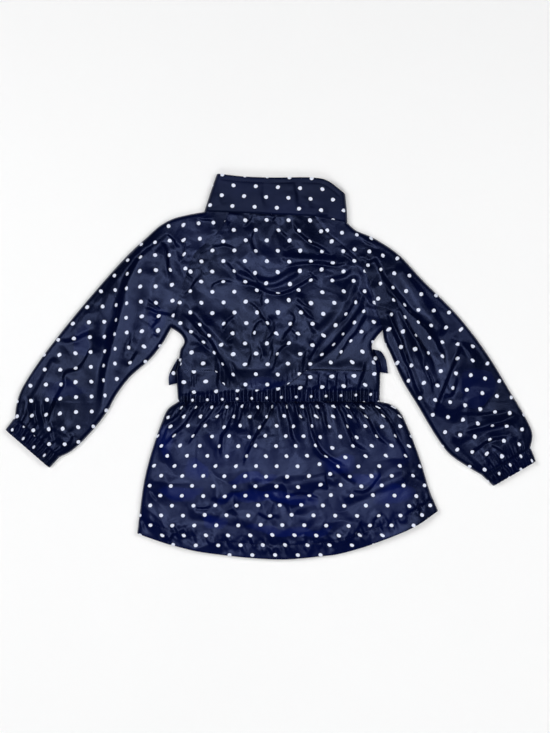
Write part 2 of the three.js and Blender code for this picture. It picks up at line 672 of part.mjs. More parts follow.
// Flaps: small free tabs of cloth let into the side seams at the waist, curling up
function flap(root, edge, height) {
  const plan = patch({ start: [root[0], edge[0]], end: [root.at(-1), edge.at(-1)], left: root, right: edge });
  const outer = [];
  const inner = [];
  for (const t of shares(6)) {
    const curl = (s) => height * Math.sin(Math.PI * 0.5 * s) * (0.4 + 0.6 * Math.sin(Math.PI * t));
    outer.push(shares(5).map((s) => [...plan(s, t), curl(s) + CLOTH]));
    inner.push(shares(5).map((s) => [...plan(s, t), curl(s)]));
  }
  return wall(outer, inner, false);
}
const FLAP_ROOM = 0.65; // between a flap's root and the side of the coat
const FLAP_ROOT_LEFT = [...SIDE_LEFT.filter(([, y]) => y < 10).slice(0, -1), along(WAIST_LEFT, 0), along(WAIST_LEFT, 0.4)];
const FLAP_ROOT_RIGHT = SIDE_RIGHT.filter(([, y]) => y < 19);
add("flap_left", flap(
  shift(FLAP_ROOT_LEFT, -FLAP_ROOM, 0),
  smooth([[-127, 9], [-132, -1], [-137, -13], [-137.5, -24.5]]),
  2.5,
));
add("flap_right", flap(
  shift(FLAP_ROOT_RIGHT, FLAP_ROOM, 0),
  smooth([[145, 20.5], [153, 14.5], [157, 3], [158.5, -8]]),
  4,
));

export default coat;
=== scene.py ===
"""A toddler's dotted raincoat, lying flat on its front with its back up, dressed around its solids.

The shapes are worked out in millimetres, in the frame of the solids, and written to meshes in metres.
Each piece of cloth is a thin shell: a fine upper sheet whose height is a function of its place, with
the folds, creases, gathers and seams of the laid coat, and a plain lower sheet on the surface.
"""

import math
from collections import namedtuple

import bmesh
import bpy
import numpy as np
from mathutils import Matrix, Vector
from mathutils.geometry import delaunay_2d_cdt


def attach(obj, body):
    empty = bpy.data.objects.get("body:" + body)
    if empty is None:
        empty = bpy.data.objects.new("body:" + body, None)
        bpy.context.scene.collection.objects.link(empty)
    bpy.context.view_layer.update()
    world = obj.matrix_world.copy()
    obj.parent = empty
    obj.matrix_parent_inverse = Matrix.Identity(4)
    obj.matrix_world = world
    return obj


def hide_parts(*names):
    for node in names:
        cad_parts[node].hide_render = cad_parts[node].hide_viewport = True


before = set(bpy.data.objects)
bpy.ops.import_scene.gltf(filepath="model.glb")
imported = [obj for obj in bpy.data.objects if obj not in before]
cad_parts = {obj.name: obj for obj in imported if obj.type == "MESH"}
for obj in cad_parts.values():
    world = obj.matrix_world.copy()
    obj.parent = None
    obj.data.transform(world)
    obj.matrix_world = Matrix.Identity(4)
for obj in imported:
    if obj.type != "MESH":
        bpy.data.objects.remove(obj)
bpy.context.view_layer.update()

MM = 0.001

# Sizes

RIM = 1.9  # height of the back's lower edge at the sides
RISE = 5.7  # from there up to the flattest part of the back
ROLL = 5.5  # width over which the back rolls down to a side edge, tighter than in the solids
ENDS_ROLL = 7.0  # the same at the cuffs and the collar
LOFT = 3.0  # how much higher the loose cloth stands
LOFT_REACH = 34.0  # distance from an edge or a seam at which it does so in full
SKIN = 0.5  # thickness of the modelled cloth
FRONT_SKIN = 1.1
COLLAR_SKIN = 0.9
FLAP_SKIN = 0.7
STEP = 1.5  # spacing of the mesh
FRONT_STEP = 6.0
WELD_REACH = 0.01  # points this close to a side edge are put on it, so that sheets join there
SEAM_HALF = 0.03  # half the width of a seam's groove
FRONT_GAP = 0.3  # between the hidden fronts and the pieces beside them

WAIST_TOP = -5.5
WAIST_BOTTOM = -47.5
WAIST_GATHERS = 46
WAIST_FULLNESS = 1.45  # width of the cloth that the elastic holds, over its own
CUFF_GATHERS = 13
SLEEVE_PLEATS = 5
SKIRT_PLEATS = 17
HEM_BAND = 18.5
PLACKET_WIDTH = 30.0
CENTRE_NECK = 1.0
CENTRE_HEM = 22.5
NECK_Y = 205.0
HEM_Y = -259.0
COLLAR_RIM = 2.3
COLLAR_RISE = 6.3
COLLAR_ABOVE_NECK = 0.4
COLLAR_STITCH = 6.5  # from its edge to its row of stitches
CUFF_CASING = 16
DOT_REPEAT = 29.3  # between dots along a row; every second row is shifted by half of it
DOT_RADIUS = 0.125  # as a share of a square of the turned grid of dots

# Corners that the outlines share, first on the left and then on the right

NECK_ENDS = (-89.5, 208.5), (103.5, 193.5)
RAGLAN_TOPS = (-56.5, 207), (59, 202)
ARMPITS = (-134, 52), (151, 49)
WAIST_TOPS = (-128, WAIST_TOP), (148, WAIST_TOP)
WAIST_LOWS = (-125, WAIST_BOTTOM), (147, WAIST_BOTTOM)
HEM_ENDS = (-180, -225), (225.5, -194.5)
COLLAR_ENDS = (-72.5, 259.5), (100.5, 232)
CUFF_SEAMS = [(-345, -68.5), (-285, -122.5)], [(350.5, -109), (284.5, -146.5)]

# Outlines, as in the solids

Side = namedtuple("Side", "sign shoulder underarm raglan seam waist flare collar cuff_seam cuff_end")
LEFT = Side(
    sign=-1,
    shoulder=[
        CUFF_SEAMS[0][0], (-343, -52), (-337, -33), (-318, -1.5), (-284.5, 43.5), (-240, 97.5),
        (-191.5, 151.5), (-167, 174), (-149.5, 189.5), (-132, 199), (-111.5, 204.5), NECK_ENDS[0],
    ],
    underarm=[
        CUFF_SEAMS[0][1], (-268, -113.5), (-240, -86), (-221, -61.5), (-207.5, -37.5),
        (-188.5, -13), (-164.5, 8), (-146.5, 30), ARMPITS[0],
    ],
    raglan=[
        RAGLAN_TOPS[0], (-68.5, 184), (-86, 167.5), (-103.5, 150),
        (-114.5, 122), (-123, 93.5), (-129, 70.5), ARMPITS[0],
    ],
    seam=[ARMPITS[0], (-121, 42.5), (-116.5, 33), (-122, 22), (-124, 8.5), WAIST_TOPS[0]],
    waist=[WAIST_TOPS[0], WAIST_LOWS[0]],
    flare=[
        WAIST_LOWS[0], (-138.5, -57.5), (-148, -78), (-160, -113),
        (-170.5, -153.5), (-176.5, -196.5), HEM_ENDS[0],
    ],
    collar=[(NECK_ENDS[0][0], NECK_ENDS[0][1] + COLLAR_ABOVE_NECK), (-79, 241), COLLAR_ENDS[0]],
    cuff_seam=CUFF_SEAMS[0],
    cuff_end=[(-357.5, -85), (-298, -136.5)],
)
RIGHT = Side(
    sign=1,
    shoulder=[
        CUFF_SEAMS[1][0], (353, -91.5), (346, -73.5), (321.5, -32), (292, 16.5), (253, 67.5),
        (203, 118), (172, 151), (138, 173.5), (114, 184), NECK_ENDS[1],
    ],
    underarm=[
        CUFF_SEAMS[1][1], (263.5, -134), (240.5, -117.5), (223, -94), (199, -54),
        (177.5, -18.5), (160.5, 19), (153, 34.5), ARMPITS[1],
    ],
    raglan=[
        RAGLAN_TOPS[1], (75, 181.5), (95.5, 164.5), (114, 147.5),
        (128.5, 124.5), (137, 99), (144, 73.5), ARMPITS[1],
    ],
    seam=[ARMPITS[1], (143, 39.5), (136.5, 27.5), (139.5, 18), (146, 7.5), WAIST_TOPS[1]],
    waist=[WAIST_TOPS[1], WAIST_LOWS[1]],
    flare=[
        WAIST_LOWS[1], (160, -50.5), (173, -60), (186.5, -86), (203.5, -132), (213.5, -165.5), HEM_ENDS[1],
    ],
    collar=[(NECK_ENDS[1][0], NECK_ENDS[1][1] + COLLAR_ABOVE_NECK), (102.5, 212), COLLAR_ENDS[1]],
    cuff_seam=CUFF_SEAMS[1],
    cuff_end=[(357.5, -127.5), (300, -161)],
)
SIDES = {"left": LEFT, "right": RIGHT}
HEM = [
    HEM_ENDS[0], (-144, -237), (-101, -248), (-57.5, -254.5), (-14.5, -258.5), (19.5, -259.5),
    (56, -256.5), (93.5, -252), (142, -237), (193.5, -215.5), HEM_ENDS[1],
]
# Where the back's lower edge hangs over the waistband
SLUMP = [
    WAIST_TOPS[0], (-100, -5.5), (-76, -6), (-66, -22), (-55, -29.5), (-38, -31), (-12, -31), (7, -29),
    (22, -24.5), (34, -16), (47, -5.5), (100, -4.5), WAIST_TOPS[1],
]
COLLAR_TOP = [COLLAR_ENDS[0], (-37.5, 255.5), (-1, 254), (60, 253.7), (76, 250), COLLAR_ENDS[1]]
NECK = [NECK_ENDS[0], *RAGLAN_TOPS, NECK_ENDS[1]]


def rows_of(columns, rows):
    """A table by rows, each with its columns named."""
    return [columns(*row) for row in rows]


# Creases

# A crease is a valley: half its width, its depth, the cloth tucked away in it, and its route.
Crease = namedtuple("Crease", "half depth tuck route")

BACK_CREASES = rows_of(Crease, [
    (3, 3.4, 8, [
        (-48, 112), (-29, 111), (-10, 104), (1, 100), (13, 98), (26, 101), (37, 107), (49, 114), (68, 123),
    ]),
    (2.6, 1.9, 3, [(-118, 93), (-109, 104), (-99, 116), (-91, 124)]),
    (2.6, 1.6, 2, [(-80, 101), (-77, 110), (-67, 114), (-48, 114)]),
    (2.6, 1.7, 2, [(-38, 133), (-25, 121), (-13, 107)]),
    (2.6, 2.1, 2, [(-20, 186), (-26, 172), (-24, 159), (-17, 148)]),
    (3.2, 3.2, 5, [(28, 202), (33, 184), (47, 172), (58, 165), (71, 158), (86, 148)]),
    (2.2, 1.6, 2, [(9, 190), (18, 179), (25, 173)]),
    (2.2, 1.1, 1, [(22, 154), (25, 159), (36, 162)]),
    (2.2, 1.5, 2, [(58, 148), (71, 153), (86, 149)]),
    (3.2, 2.8, 5, [(16, 131), (37, 138), (62, 138), (85, 136), (109, 141)]),
    (6, 2.2, 3, [(109, 136), (102, 125), (85, 119), (71, 121)]),
    (8.5, 5.4, 9, [(128, 110), (123, 83), (111, 64), (96, 43), (79, 23), (62, 6), (44, -5)]),
    (4.6, 3.4, 5, [(131, 83), (121, 57), (105, 34), (92, 13), (83, -3)]),
    (2.2, 1.9, 3, [(29, 87), (39, 78), (52, 65), (66, 57)]),
    (1.9, 1.5, 2, [(34, 91), (47, 81), (58, 72)]),
    (2.6, 2.5, 3, [(24, 79), (29, 72), (33, 62), (29, 53), (20, 43), (13, 33)]),
    (2.6, 1.7, 2, [(-10, 102), (-12, 91), (-9, 79)]),
    (2.4, 2.3, 3, [(-31, 89), (-20, 80), (-12, 70), (-5, 57), (0, 45)]),
    (2.6, 2.1, 4, [(-6, 65), (-18, 59), (-25, 43), (-26, 34)]),
    (3, 3.3, 4, [(29, 33), (16, 25), (9, 15), (6, 5), (1, -10)]),
    (2.1, 1.7, 2, [(-3, 34), (4, 24), (1, 13), (-2, 0)]),
    (3.6, 3.8, 6, [(-123, 74), (-105, 60), (-90, 43), (-77, 26), (-68, 7), (-58, -8), (-48, -23)]),
    (3, 2.7, 4, [(-120, 55), (-105, 42), (-88, 28), (-77, 18)]),
    (2.3, 1.7, 2, [(-112, 66), (-97, 55), (-84, 36), (-71, 15)]),
    (2.1, 1.7, 2, [(-56, 6), (-50, -8), (-45, -21)]),
    (2.1, 1.1, 1, [(-60, 36), (-54, 39), (-46, 45)]),
    (2.6, 2.1, 3, [(-29, 34), (-27, 23), (-29, 7), (-34, -2)]),
    (2.6, 1.9, 3, [(-102, 193), (-80, 187), (-67, 186)]),
    (2.1, 1.5, 2, [(-95, 201), (-78, 193)]),
    (2.6, 1.7, 2, [(-82, 162), (-63, 162), (-47, 159)]),
    (2.1, 1.3, 2, [(-97, 134), (-92, 127), (-90, 121)]),
    (2.1, 1.4, 2, [(-59, 197), (-55, 190), (-57, 180)]),
    (3, 2.1, 2, [(-23, 205), (-30, 194), (-38, 186)]),
    (2.6, 1.6, 2, [(9, 204), (1, 194)]),
    (3.2, 2.2, 3, [(140, 52), (128, 41), (122, 29)]),
    (3, 2, 3, [(-46, 70), (-58, 60), (-66, 47)]),
    (2.4, 1.3, 2, [(-60, 142), (-48, 128), (-44, 118)]),
    (2, 1.7, 2, [(50, 127), (56, 122), (64, 114)]),
    (2, 1.7, 2, [(-3, 72), (4, 59), (2, 46), (-14, 29)]),
    (2.2, 1.9, 2, [(66, 34), (58, 20), (52, 6)]),
    (2, 1.6, 2, [(50, 24), (46, 10), (45, -2)]),
    (2.2, 1.8, 2, [(-108, 60), (-96, 46), (-84, 36), (-78, 24)]),
    (2, 1.4, 2, [(-118, 132), (-112, 122), (-100, 117)]),
    (2.2, 1.6, 2, [(96, 152), (104, 146), (112, 138)]),
    (2.4, 2, 3, [(118, 98), (112, 82), (100, 66), (92, 58)]),
    (2, 1.4, 2, [(-16, 30), (-12, 18), (-14, 6)]),
    (2, 1.5, 2, [(24, 52), (34, 44), (38, 32)]),
])
WAIST_CREASES = rows_of(Crease, [
    (3, 2.6, 4, [(-77, 22), (-73, 7), (-71, -8), (-69, -36)]),
    (2.2, 1.1, 2, [(-107, -8), (-105, -19), (-106, -32)]),
    (2.2, 0.9, 2, [(-98, -10), (-99, -29)]),
    (2.4, 1.6, 3, [(50, -8), (48, -31)]),
    (2.6, 2, 4, [(64, -6), (63, -33)]),
    (2.6, 2, 4, [(76, -8), (75, -33)]),
    (2.6, 2.2, 4, [(90, -4), (87, -33)]),
    (2.4, 1.8, 3, [(102, -8), (102, -31)]),
    (3.4, 2.6, 4, [(135, 24), (127, -4), (121, -20), (115, -35)]),
])
SKIRT_FOLDS = rows_of(Crease, [
    (2.8, 3.4, 4, [(3, -44), (1, -57), (-10, -78), (-23, -99), (-31, -118), (-39, -140)]),
    (3.2, 3, 3, [(-88, -44), (-106, -65), (-124, -88), (-138, -100), (-152, -116)]),
    (2.6, 2.4, 3, [(-108, -44), (-126, -65), (-143, -81), (-156, -105)]),
    (2.4, 2.6, 3, [(-70, -44), (-78, -59), (-95, -81), (-108, -102), (-114, -112)]),
    (3.4, 3.2, 3, [(-48, -44), (-51, -62), (-58, -81), (-67, -99), (-68, -118), (-60, -130)]),
    (2.4, 2.4, 3, [(-34, -44), (-40, -60), (-43, -72), (-52, -90)]),
    (2.2, 2.2, 3, [(-14, -44), (-17, -58), (-24, -74)]),
    (2.4, 2.4, 3, [(19, -44), (22, -60), (27, -80), (31, -98), (42, -112)]),
    (3.2, 3.4, 4, [(47, -44), (52, -65), (57, -91), (68, -113), (86, -127), (110, -138)]),
    (2.2, 2.4, 3, [(33, -44), (37, -60), (45, -76)]),
    (2.4, 2.4, 3, [(66, -44), (72, -62), (76, -78), (82, -90)]),
    (3, 3.4, 4, [(88, -44), (94, -60), (102, -81), (113, -102), (134, -119)]),
    (2.8, 3, 3, [(110, -44), (117, -54), (131, -73), (147, -97), (164, -112)]),
    (2.6, 3, 3, [(130, -44), (140, -54), (158, -73), (171, -97), (182, -118), (187, -140)]),
    (2.4, 2.2, 3, [(143, -44), (156, -53), (170, -62), (186, -88), (194, -110)]),
    (2, 2, 2, [(100, -44), (106, -56), (116, -72), (122, -82)]),
    (2, 2, 2, [(-58, -44), (-64, -58), (-78, -74)]),
])
SKIRT_CREASES = rows_of(Crease, [
    (6, 3.2, 4, [(54, -109), (70, -122), (85, -135), (101, -148), (117, -159)]),
    (2.6, 2.1, 2, [(72, -140), (75, -153), (79, -166)]),
    (3.2, 1.9, 2, [(15, -175), (40, -171), (67, -177)]),
    (3.2, 2.1, 2, [(104, -166), (122, -168), (135, -161), (145, -148), (140, -135)]),
    (8, 2.2, 2, [(-32, -172), (-12, -170), (9, -182), (67, -182)]),
    (4, 2.1, 2, [(-82, -174), (-64, -182), (-48, -172), (-38, -180)]),
    (2.2, 1.5, 2, [(-103, -189), (-90, -189), (-77, -187)]),
    (3.2, 2.1, 2, [(122, -206), (114, -224), (106, -235)]),
    (2.6, 1.7, 2, [(135, -219), (140, -206), (151, -198)]),
    (2.2, 1.3, 2, [(-163, -166), (-158, -174), (-153, -182)]),
    (2.6, 1.8, 2, [(46, -224), (51, -240)]),
    (2.2, 1.5, 2, [(67, -230), (72, -243)]),
    (3.2, 1.7, 2, [(187, -140), (198, -151), (208, -156)]),
    (2.6, 1.5, 2, [(182, -198), (203, -187), (213, -182)]),
    (2.6, 1.6, 2, [(-130, -222), (-134, -230), (-140, -236)]),
    (3, 1.6, 2, [(-20, -196), (-4, -204), (12, -199)]),
])
SLEEVE_LEFT_CREASES = rows_of(Crease, [
    (10.5, 5.6, 12, [
        (-128, 195), (-144, 173), (-170, 154), (-186, 136), (-196, 110), (-203, 78),
        (-211, 46), (-219, 14), (-226, -16), (-231, -48), (-234, -78),
    ]),
    (3.6, 3, 4, [(-152, 169), (-143, 164), (-138, 149), (-137, 131), (-135, 112)]),
    (2.6, 2.2, 3, [(-142, 180), (-131, 170), (-128, 158)]),
    (2, 1.6, 2, [(-168, 92), (-156, 84), (-146, 76)]),
    (2, 1.6, 2, [(-158, 60), (-150, 64), (-143, 72)]),
    (3, 1.8, 2, [(-192, 60), (-188, 34), (-196, 12)]),
    (3.2, 2.7, 4, [(-169, 81), (-153, 74), (-140, 70), (-131, 68)]),
    (3, 2.3, 3, [(-162, 49), (-153, 58), (-142, 63)]),
    (2.6, 1.7, 2, [(-160, 44), (-149, 38)]),
    (4.6, 3.6, 4, [(-279, -10), (-280, -24), (-288, -44), (-299, -72), (-306, -88)]),
    (5, 2.8, 3, [(-264, -92), (-270, -104), (-276, -114)]),
    (2.2, 1.8, 2, [(-318, -40), (-317, -65), (-313, -88)]),
    (2.2, 1.8, 2, [(-305, -44), (-306, -62), (-304, -84)]),
    (2.2, 1.6, 2, [(-330, -38), (-329, -58), (-325, -79)]),
    (2.2, 1.5, 2, [(-296, -74), (-294, -92), (-291, -108)]),
    (5, 2, 1, [(-292, 34), (-264, 38), (-234, 50)]),
    (4, 2.2, 2, [(-238, 32), (-259, -2), (-277, -10), (-284, -30)]),
    (2.6, 1.9, 2, [(-101, 200), (-85, 196), (-74, 195)]),
    (2.6, 1.8, 2, [(-114, 168), (-118, 150), (-124, 138)]),
    (3, 1.8, 2, [(-178, 22), (-186, 8), (-196, -2)]),
])
SLEEVE_RIGHT_CREASES = rows_of(Crease, [
    (8, 5.2, 9, [
        (123, 169), (141, 140), (155, 117), (175, 89), (203, 58), (222, 35), (233, 8), (238, -16),
    ]),
    (3.2, 3, 5, [(150, 109), (164, 95), (175, 77), (189, 53), (203, 30), (217, 5), (224, -19)]),
    (3, 2.5, 4, [(157, 80), (168, 58), (178, 35), (185, 12), (194, -7)]),
    (2.6, 1.9, 2, [(180, 7), (185, -12), (187, -26)]),
    (2.6, 2.1, 3, [(203, 12), (213, -14), (220, -37)]),
    (3.2, 1.9, 2, [(231, -35), (241, -40), (248, -30), (251, -12)]),
    (3, 1.5, 2, [(250, -63), (283, -65), (320, -60)]),
    (3.6, 3.2, 4, [(255, -91), (278, -85), (306, -79), (324, -78), (334, -86)]),
    (3.2, 2.8, 4, [(266, -119), (283, -107), (301, -98), (324, -93)]),
    (2.6, 1.9, 2, [(296, -105), (308, -112), (315, -121)]),
    (3, 1.7, 2, [(348, -58), (345, -77), (341, -93)]),
    (2.6, 1.9, 2, [(155, 48), (160, 30), (175, 5)]),
    (3.2, 1.5, 2, [(110, 184), (129, 167), (150, 158)]),
    (4.2, 2.2, 2, [(118, 148), (133, 140), (143, 149)]),
    (2.2, 1.7, 2, [(333, -98), (338, -110), (340, -116)]),
    (2.2, 1.6, 2, [(290, -118), (294, -130), (296, -138)]),
    (3.4, 1.6, 2, [(242, 38), (262, 22), (274, 4)]),
])
COLLAR_CREASES = rows_of(Crease, [
    (5, 1.5, 0, [(-11, 252), (-9, 212)]),
    (5, 2.2, 0, [(32, 252), (36, 210)]),
    (4, 1.3, 0, [(50, 214), (54, 226)]),
    (5, 0.8, 0, [(-66, 216), (-70, 236)]),
    (3, 1.6, 2, [(58, 206), (70, 202), (80, 203)]),
])

# Broad ridges under the cloth: half the width, the height and the route
Swell = namedtuple("Swell", "half height route")
SWELLS = rows_of(Swell, [
    (13, 2.4, [(110, 112), (92, 74), (60, 36)]),
    (10, 1.8, [(-100, 72), (-58, 28)]),
    (15, 2.2, [(-186, 150), (-212, 100), (-228, 40)]),
    (16, 1.6, [(-160, 120), (-176, 50), (-200, -6)]),
    (13, 2.4, [(178, 128), (226, 52)]),
    (8, 2, [(176, 74), (220, -20)]),
    (6, 1.8, [(160, 70), (200, -34)]),
    (10, 1.8, [(252, -96), (326, -68)]),
    (10, 1.6, [(-292, 4), (-322, -54)]),
    (9, 2, [(30, 126), (0, 112), (-40, 122)]),
    (8, 1.6, [(20, 147), (84, 143)]),
    (9, 1.8, [(2, 62), (-6, 20)]),
    (8, 1.6, [(40, 92), (60, 50)]),
    (12, 1.6, [(-20, -160), (84, -152)]),
    (13, 1.4, [(-100, -196), (-30, -206)]),
    (12, 1.5, [(104, -176), (176, -150)]),
    (9, 1.2, [(-36, -2), (-36, -28)]),
])

# Painted sheen: where a blue reflection is painted into the cloth's colour, by the centres and half sizes
# of patches
Patch = namedtuple("Patch", "x y half_x half_y")
PAINTED_SHEEN_PATCHES = rows_of(Patch, [
    (-5, -178, 62, 9), (124, -150, 20, 11), (166, -171, 24, 12), (-118, -171, 26, 11), (-74, -206, 22, 9),
    (25, -221, 52, 8), (-143, -102, 12, 18), (-96, -140, 20, 12), (92, -128, 18, 12), (-20, -152, 30, 7),
    (-10, -22, 26, 8), (-276, -30, 22, 16), (-250, 36, 12, 24), (276, -30, 26, 26), (-150, 60, 14, 22),
])

# Curves and distances


def smooth(points, step=STEP):
    """A soft curve through a few points (centripetal Catmull-Rom), resampled at even steps."""
    p = np.asarray(points, float)
    if len(p) == 2:
        return resample(p, step)
    p = np.vstack([2 * p[0] - p[1], p, 2 * p[-1] - p[-2]])
    pieces = []
    for a, b, c, d in zip(p, p[1:], p[2:], p[3:]):
        t0, t1 = 0.0, math.sqrt(np.hypot(*(b - a)))
        t2 = t1 + math.sqrt(np.hypot(*(c - b)))
        t3 = t2 + math.sqrt(np.hypot(*(d - c)))
        t = np.linspace(t1, t2, 24, endpoint=False)[:, None]
        ab = (t1 - t) / (t1 - t0) * a + (t - t0) / (t1 - t0) * b
        bc = (t2 - t) / (t2 - t1) * b + (t - t1) / (t2 - t1) * c
        cd = (t3 - t) / (t3 - t2) * c + (t - t2) / (t3 - t2) * d
        abc = (t2 - t) / (t2 - t0) * ab + (t - t0) / (t2 - t0) * bc
        bcd = (t3 - t) / (t3 - t1) * bc + (t - t1) / (t3 - t1) * cd
        pieces.append((t2 - t) / (t2 - t1) * abc + (t - t1) / (t2 - t1) * bcd)
    return resample(np.vstack(pieces + [p[-2:-1]]), step)


def resample(line, step=STEP):
    """A line's points again, at even steps."""
    line = np.asarray(line, float)
    reach = np.concatenate([[0], np.cumsum(np.hypot(*np.diff(line, axis=0).T))])
    at = np.linspace(0, reach[-1], max(2, int(round(reach[-1] / step)) + 1))
    return np.stack([np.interp(at, reach, line[:, i]) for i in (0, 1)], 1)


def shifted(line, dx, dy):
    """A point or a line, moved."""
    return np.asarray(line, float) + (dx, dy)


def unit(vector):
    """A plane vector's direction."""
    return vector / np.hypot(*vector)


def normals(run):
    """For every step of a line, the direction to its left."""
    return np.stack([-run[:, 1], run[:, 0]], 1) / np.hypot(*run.T)[:, None]


def beside(line, offset):
    """A line that runs beside another, on its left."""
    return line + offset * normals(np.gradient(line, axis=0))


def segments(lines):
    """The starts and the ends of all the segments of some lines."""
    lines = [np.asarray(line, float) for line in lines]
    return np.vstack([line[:-1] for line in lines]), np.vstack([line[1:] for line in lines])


def nearest(p, starts, ends):
    """Distance to the nearest segment, that segment's number, the share along it and the side."""
    best = np.full(len(p), np.inf)
    number = np.zeros(len(p), int)
    share = np.zeros(len(p))
    side = np.zeros(len(p))
    run = ends - starts
    length = np.maximum((run**2).sum(1), 1e-12)
    cells = np.floor(p / 24).astype(int)
    order = np.lexsort((cells[:, 1], cells[:, 0]))
    new_cell = np.any(np.diff(cells[order], axis=0) != 0, axis=1)
    # Every block of points looks only at the segments that can be nearest to one of them
    for block in np.split(order, np.flatnonzero(new_cell) + 1):
        points = p[block]
        middle = 0.5 * (points.min(0) + points.max(0))
        reach = np.sqrt(((points - middle) ** 2).sum(1).max())
        q = middle - starts
        t = np.clip((q * run).sum(1) / length, 0, 1)
        far = np.hypot(*(q - t[:, None] * run).T)
        near = np.flatnonzero(far <= far.min() + 2 * reach + 1e-6)
        q = points[:, None, :] - starts[near][None]
        t = np.clip((q * run[near]).sum(2) / length[near], 0, 1)
        off = q - t[..., None] * run[near]
        d2 = (off**2).sum(2)
        k = d2.argmin(1)
        rows = np.arange(len(k))
        best[block] = np.sqrt(d2[rows, k])
        number[block] = near[k]
        share[block] = t[rows, k]
        chosen = run[near][k]
        side[block] = np.sign(chosen[:, 0] * q[rows, k, 1] - chosen[:, 1] * q[rows, k, 0])
    return best, number, share, side


def distance(p, lines):
    """Distance to the nearest of the segments of some lines."""
    return nearest(p, *lines)[0]


def ramp(x):
    """A soft step from 0 at 0 to 1 at 1."""
    t = np.clip(x, 0, 1)
    return t * t * (3 - 2 * t)


def quarter_round(x):
    """A quarter of a circle, from 0 at 0 to 1 at 1."""
    return np.sqrt(1 - (1 - np.clip(x, 0, 1)) ** 2)


def bell(x, width, power=2.0):
    """1 at 0, falling off on both sides over a width."""
    return np.exp(-(np.abs(x / width) ** power))


NOISE_TABLES = 8
NOISE_CELLS = 64
noise_values = np.random.default_rng(7).random((NOISE_TABLES, NOISE_CELLS, NOISE_CELLS))


def noise_cells(x, y, size, seed, stride):
    """The random values around the square cell that holds each point, and the point's place in it."""
    gx, gy = x / size + stride[0] * seed, y / size + stride[1] * seed
    ix, iy = np.floor(gx).astype(int), np.floor(gy).astype(int)
    table = noise_values[seed % NOISE_TABLES]
    return lambda i, j: table[(ix + i) % NOISE_CELLS, (iy + j) % NOISE_CELLS], gx - ix, gy - iy


def noise(x, y, size, seed):
    """Smooth noise from -1 to 1 with bumps about as wide as size."""
    at, fx, fy = noise_cells(x, y, size, seed, (17.3, 5.1))
    fx, fy = ramp(fx), ramp(fy)
    low = at(0, 0) * (1 - fx) + at(1, 0) * fx
    high = at(0, 1) * (1 - fx) + at(1, 1) * fx
    return 2 * (low * (1 - fy) + high * fy) - 1


def noise_along(x, size, seed):
    """Noise that changes along one direction only."""
    return noise(x, 0 * x, size, seed)


def facets(x, y, size, seed):
    """Noise from -1 to 1 made of flat triangles about as wide as size, with sharp folds between them."""
    at, fx, fy = noise_cells(x, y, size, seed, (11.7, 3.9))
    turned = (at(31, 17) > 0.5).astype(int)
    fx = np.where(turned, 1 - fx, fx)
    near, far = at(turned, 0), at(1 - turned, 0)
    near_up, far_up = at(turned, 1), at(1 - turned, 1)
    low = near + (far - near) * fx + (far_up - far) * fy
    high = near + (near_up - near) * fy + (far_up - near_up) * fx
    return 2 * np.where(fx > fy, low, high) - 1


# The lie of the cloth

edge_lines = []
for side in SIDES.values():
    cuff_sides = zip(side.cuff_seam, side.cuff_end)
    edge_lines += [side.shoulder, side.underarm, side.seam, side.waist, side.flare, *cuff_sides]
EDGES = segments([smooth(line, 4) for line in edge_lines])
TIGHT_SEAMS = segments([*CUFF_SEAMS, NECK, WAIST_TOPS, WAIST_LOWS])
RAGLANS = segments([smooth(side.raglan, 3) for side in SIDES.values()])
HEM_LINE = segments([smooth(HEM, 4)])
SLUMP_LINE = segments([smooth(SLUMP, 2)])
NECK_LINE = segments([resample(NECK, 4)])
COLLAR_SIDES = segments([smooth(side.collar, 3) for side in SIDES.values()])
COLLAR_EDGE = segments([smooth(line, 3) for line in (LEFT.collar, RIGHT.collar, COLLAR_TOP)])

# A crease's profile: its steep face, its lip and its trough, as shares of its depth and half width
FACE_WIDTH = 0.5
LIP_HEIGHT, LIP_WIDTH = 0.72, 3.0
TROUGH_DEPTH, TROUGH_WIDTH = 0.95, 1.8
PROFILE_POWER = 1.1
CREASE_REACH = 9
CREASE_END = 0.3  # share of a crease's length over which it fades out
LIP_SIDE = (-0.55, 0.83)  # the lip is on the side of the valley that looks this way

# The crumple's layers of flat facets, on grids that are turned by an angle
Layer = namedtuple("Layer", "size turn height seed")
CRUMPLE_LAYERS = rows_of(Layer, [(31, 0.9, 2.9, 6), (18, 2.1, 1.5, 7), (10, 0.3, 0.4, 3)])
RIDGE_SIZE, RIDGE_HEIGHT = 40, 0.9
SKIRT_CRUMPLE = 1.3  # how much livelier the skirt is

COAT_MIDDLE = 8
BODY_HALF = 150
CUFF_Y = -160


def bent(p):
    """The plan, bent a little, so that creases don't run as even curves."""
    x, y = p.T
    bent_x = x + 1.5 * noise(x, y, 23, 1) + 0.8 * noise(x, y, 9, 2)
    bent_y = y + 1.5 * noise(x, y, 21, 3) + 0.8 * noise(x, y, 10, 4)
    return np.stack([bent_x, bent_y], 1)


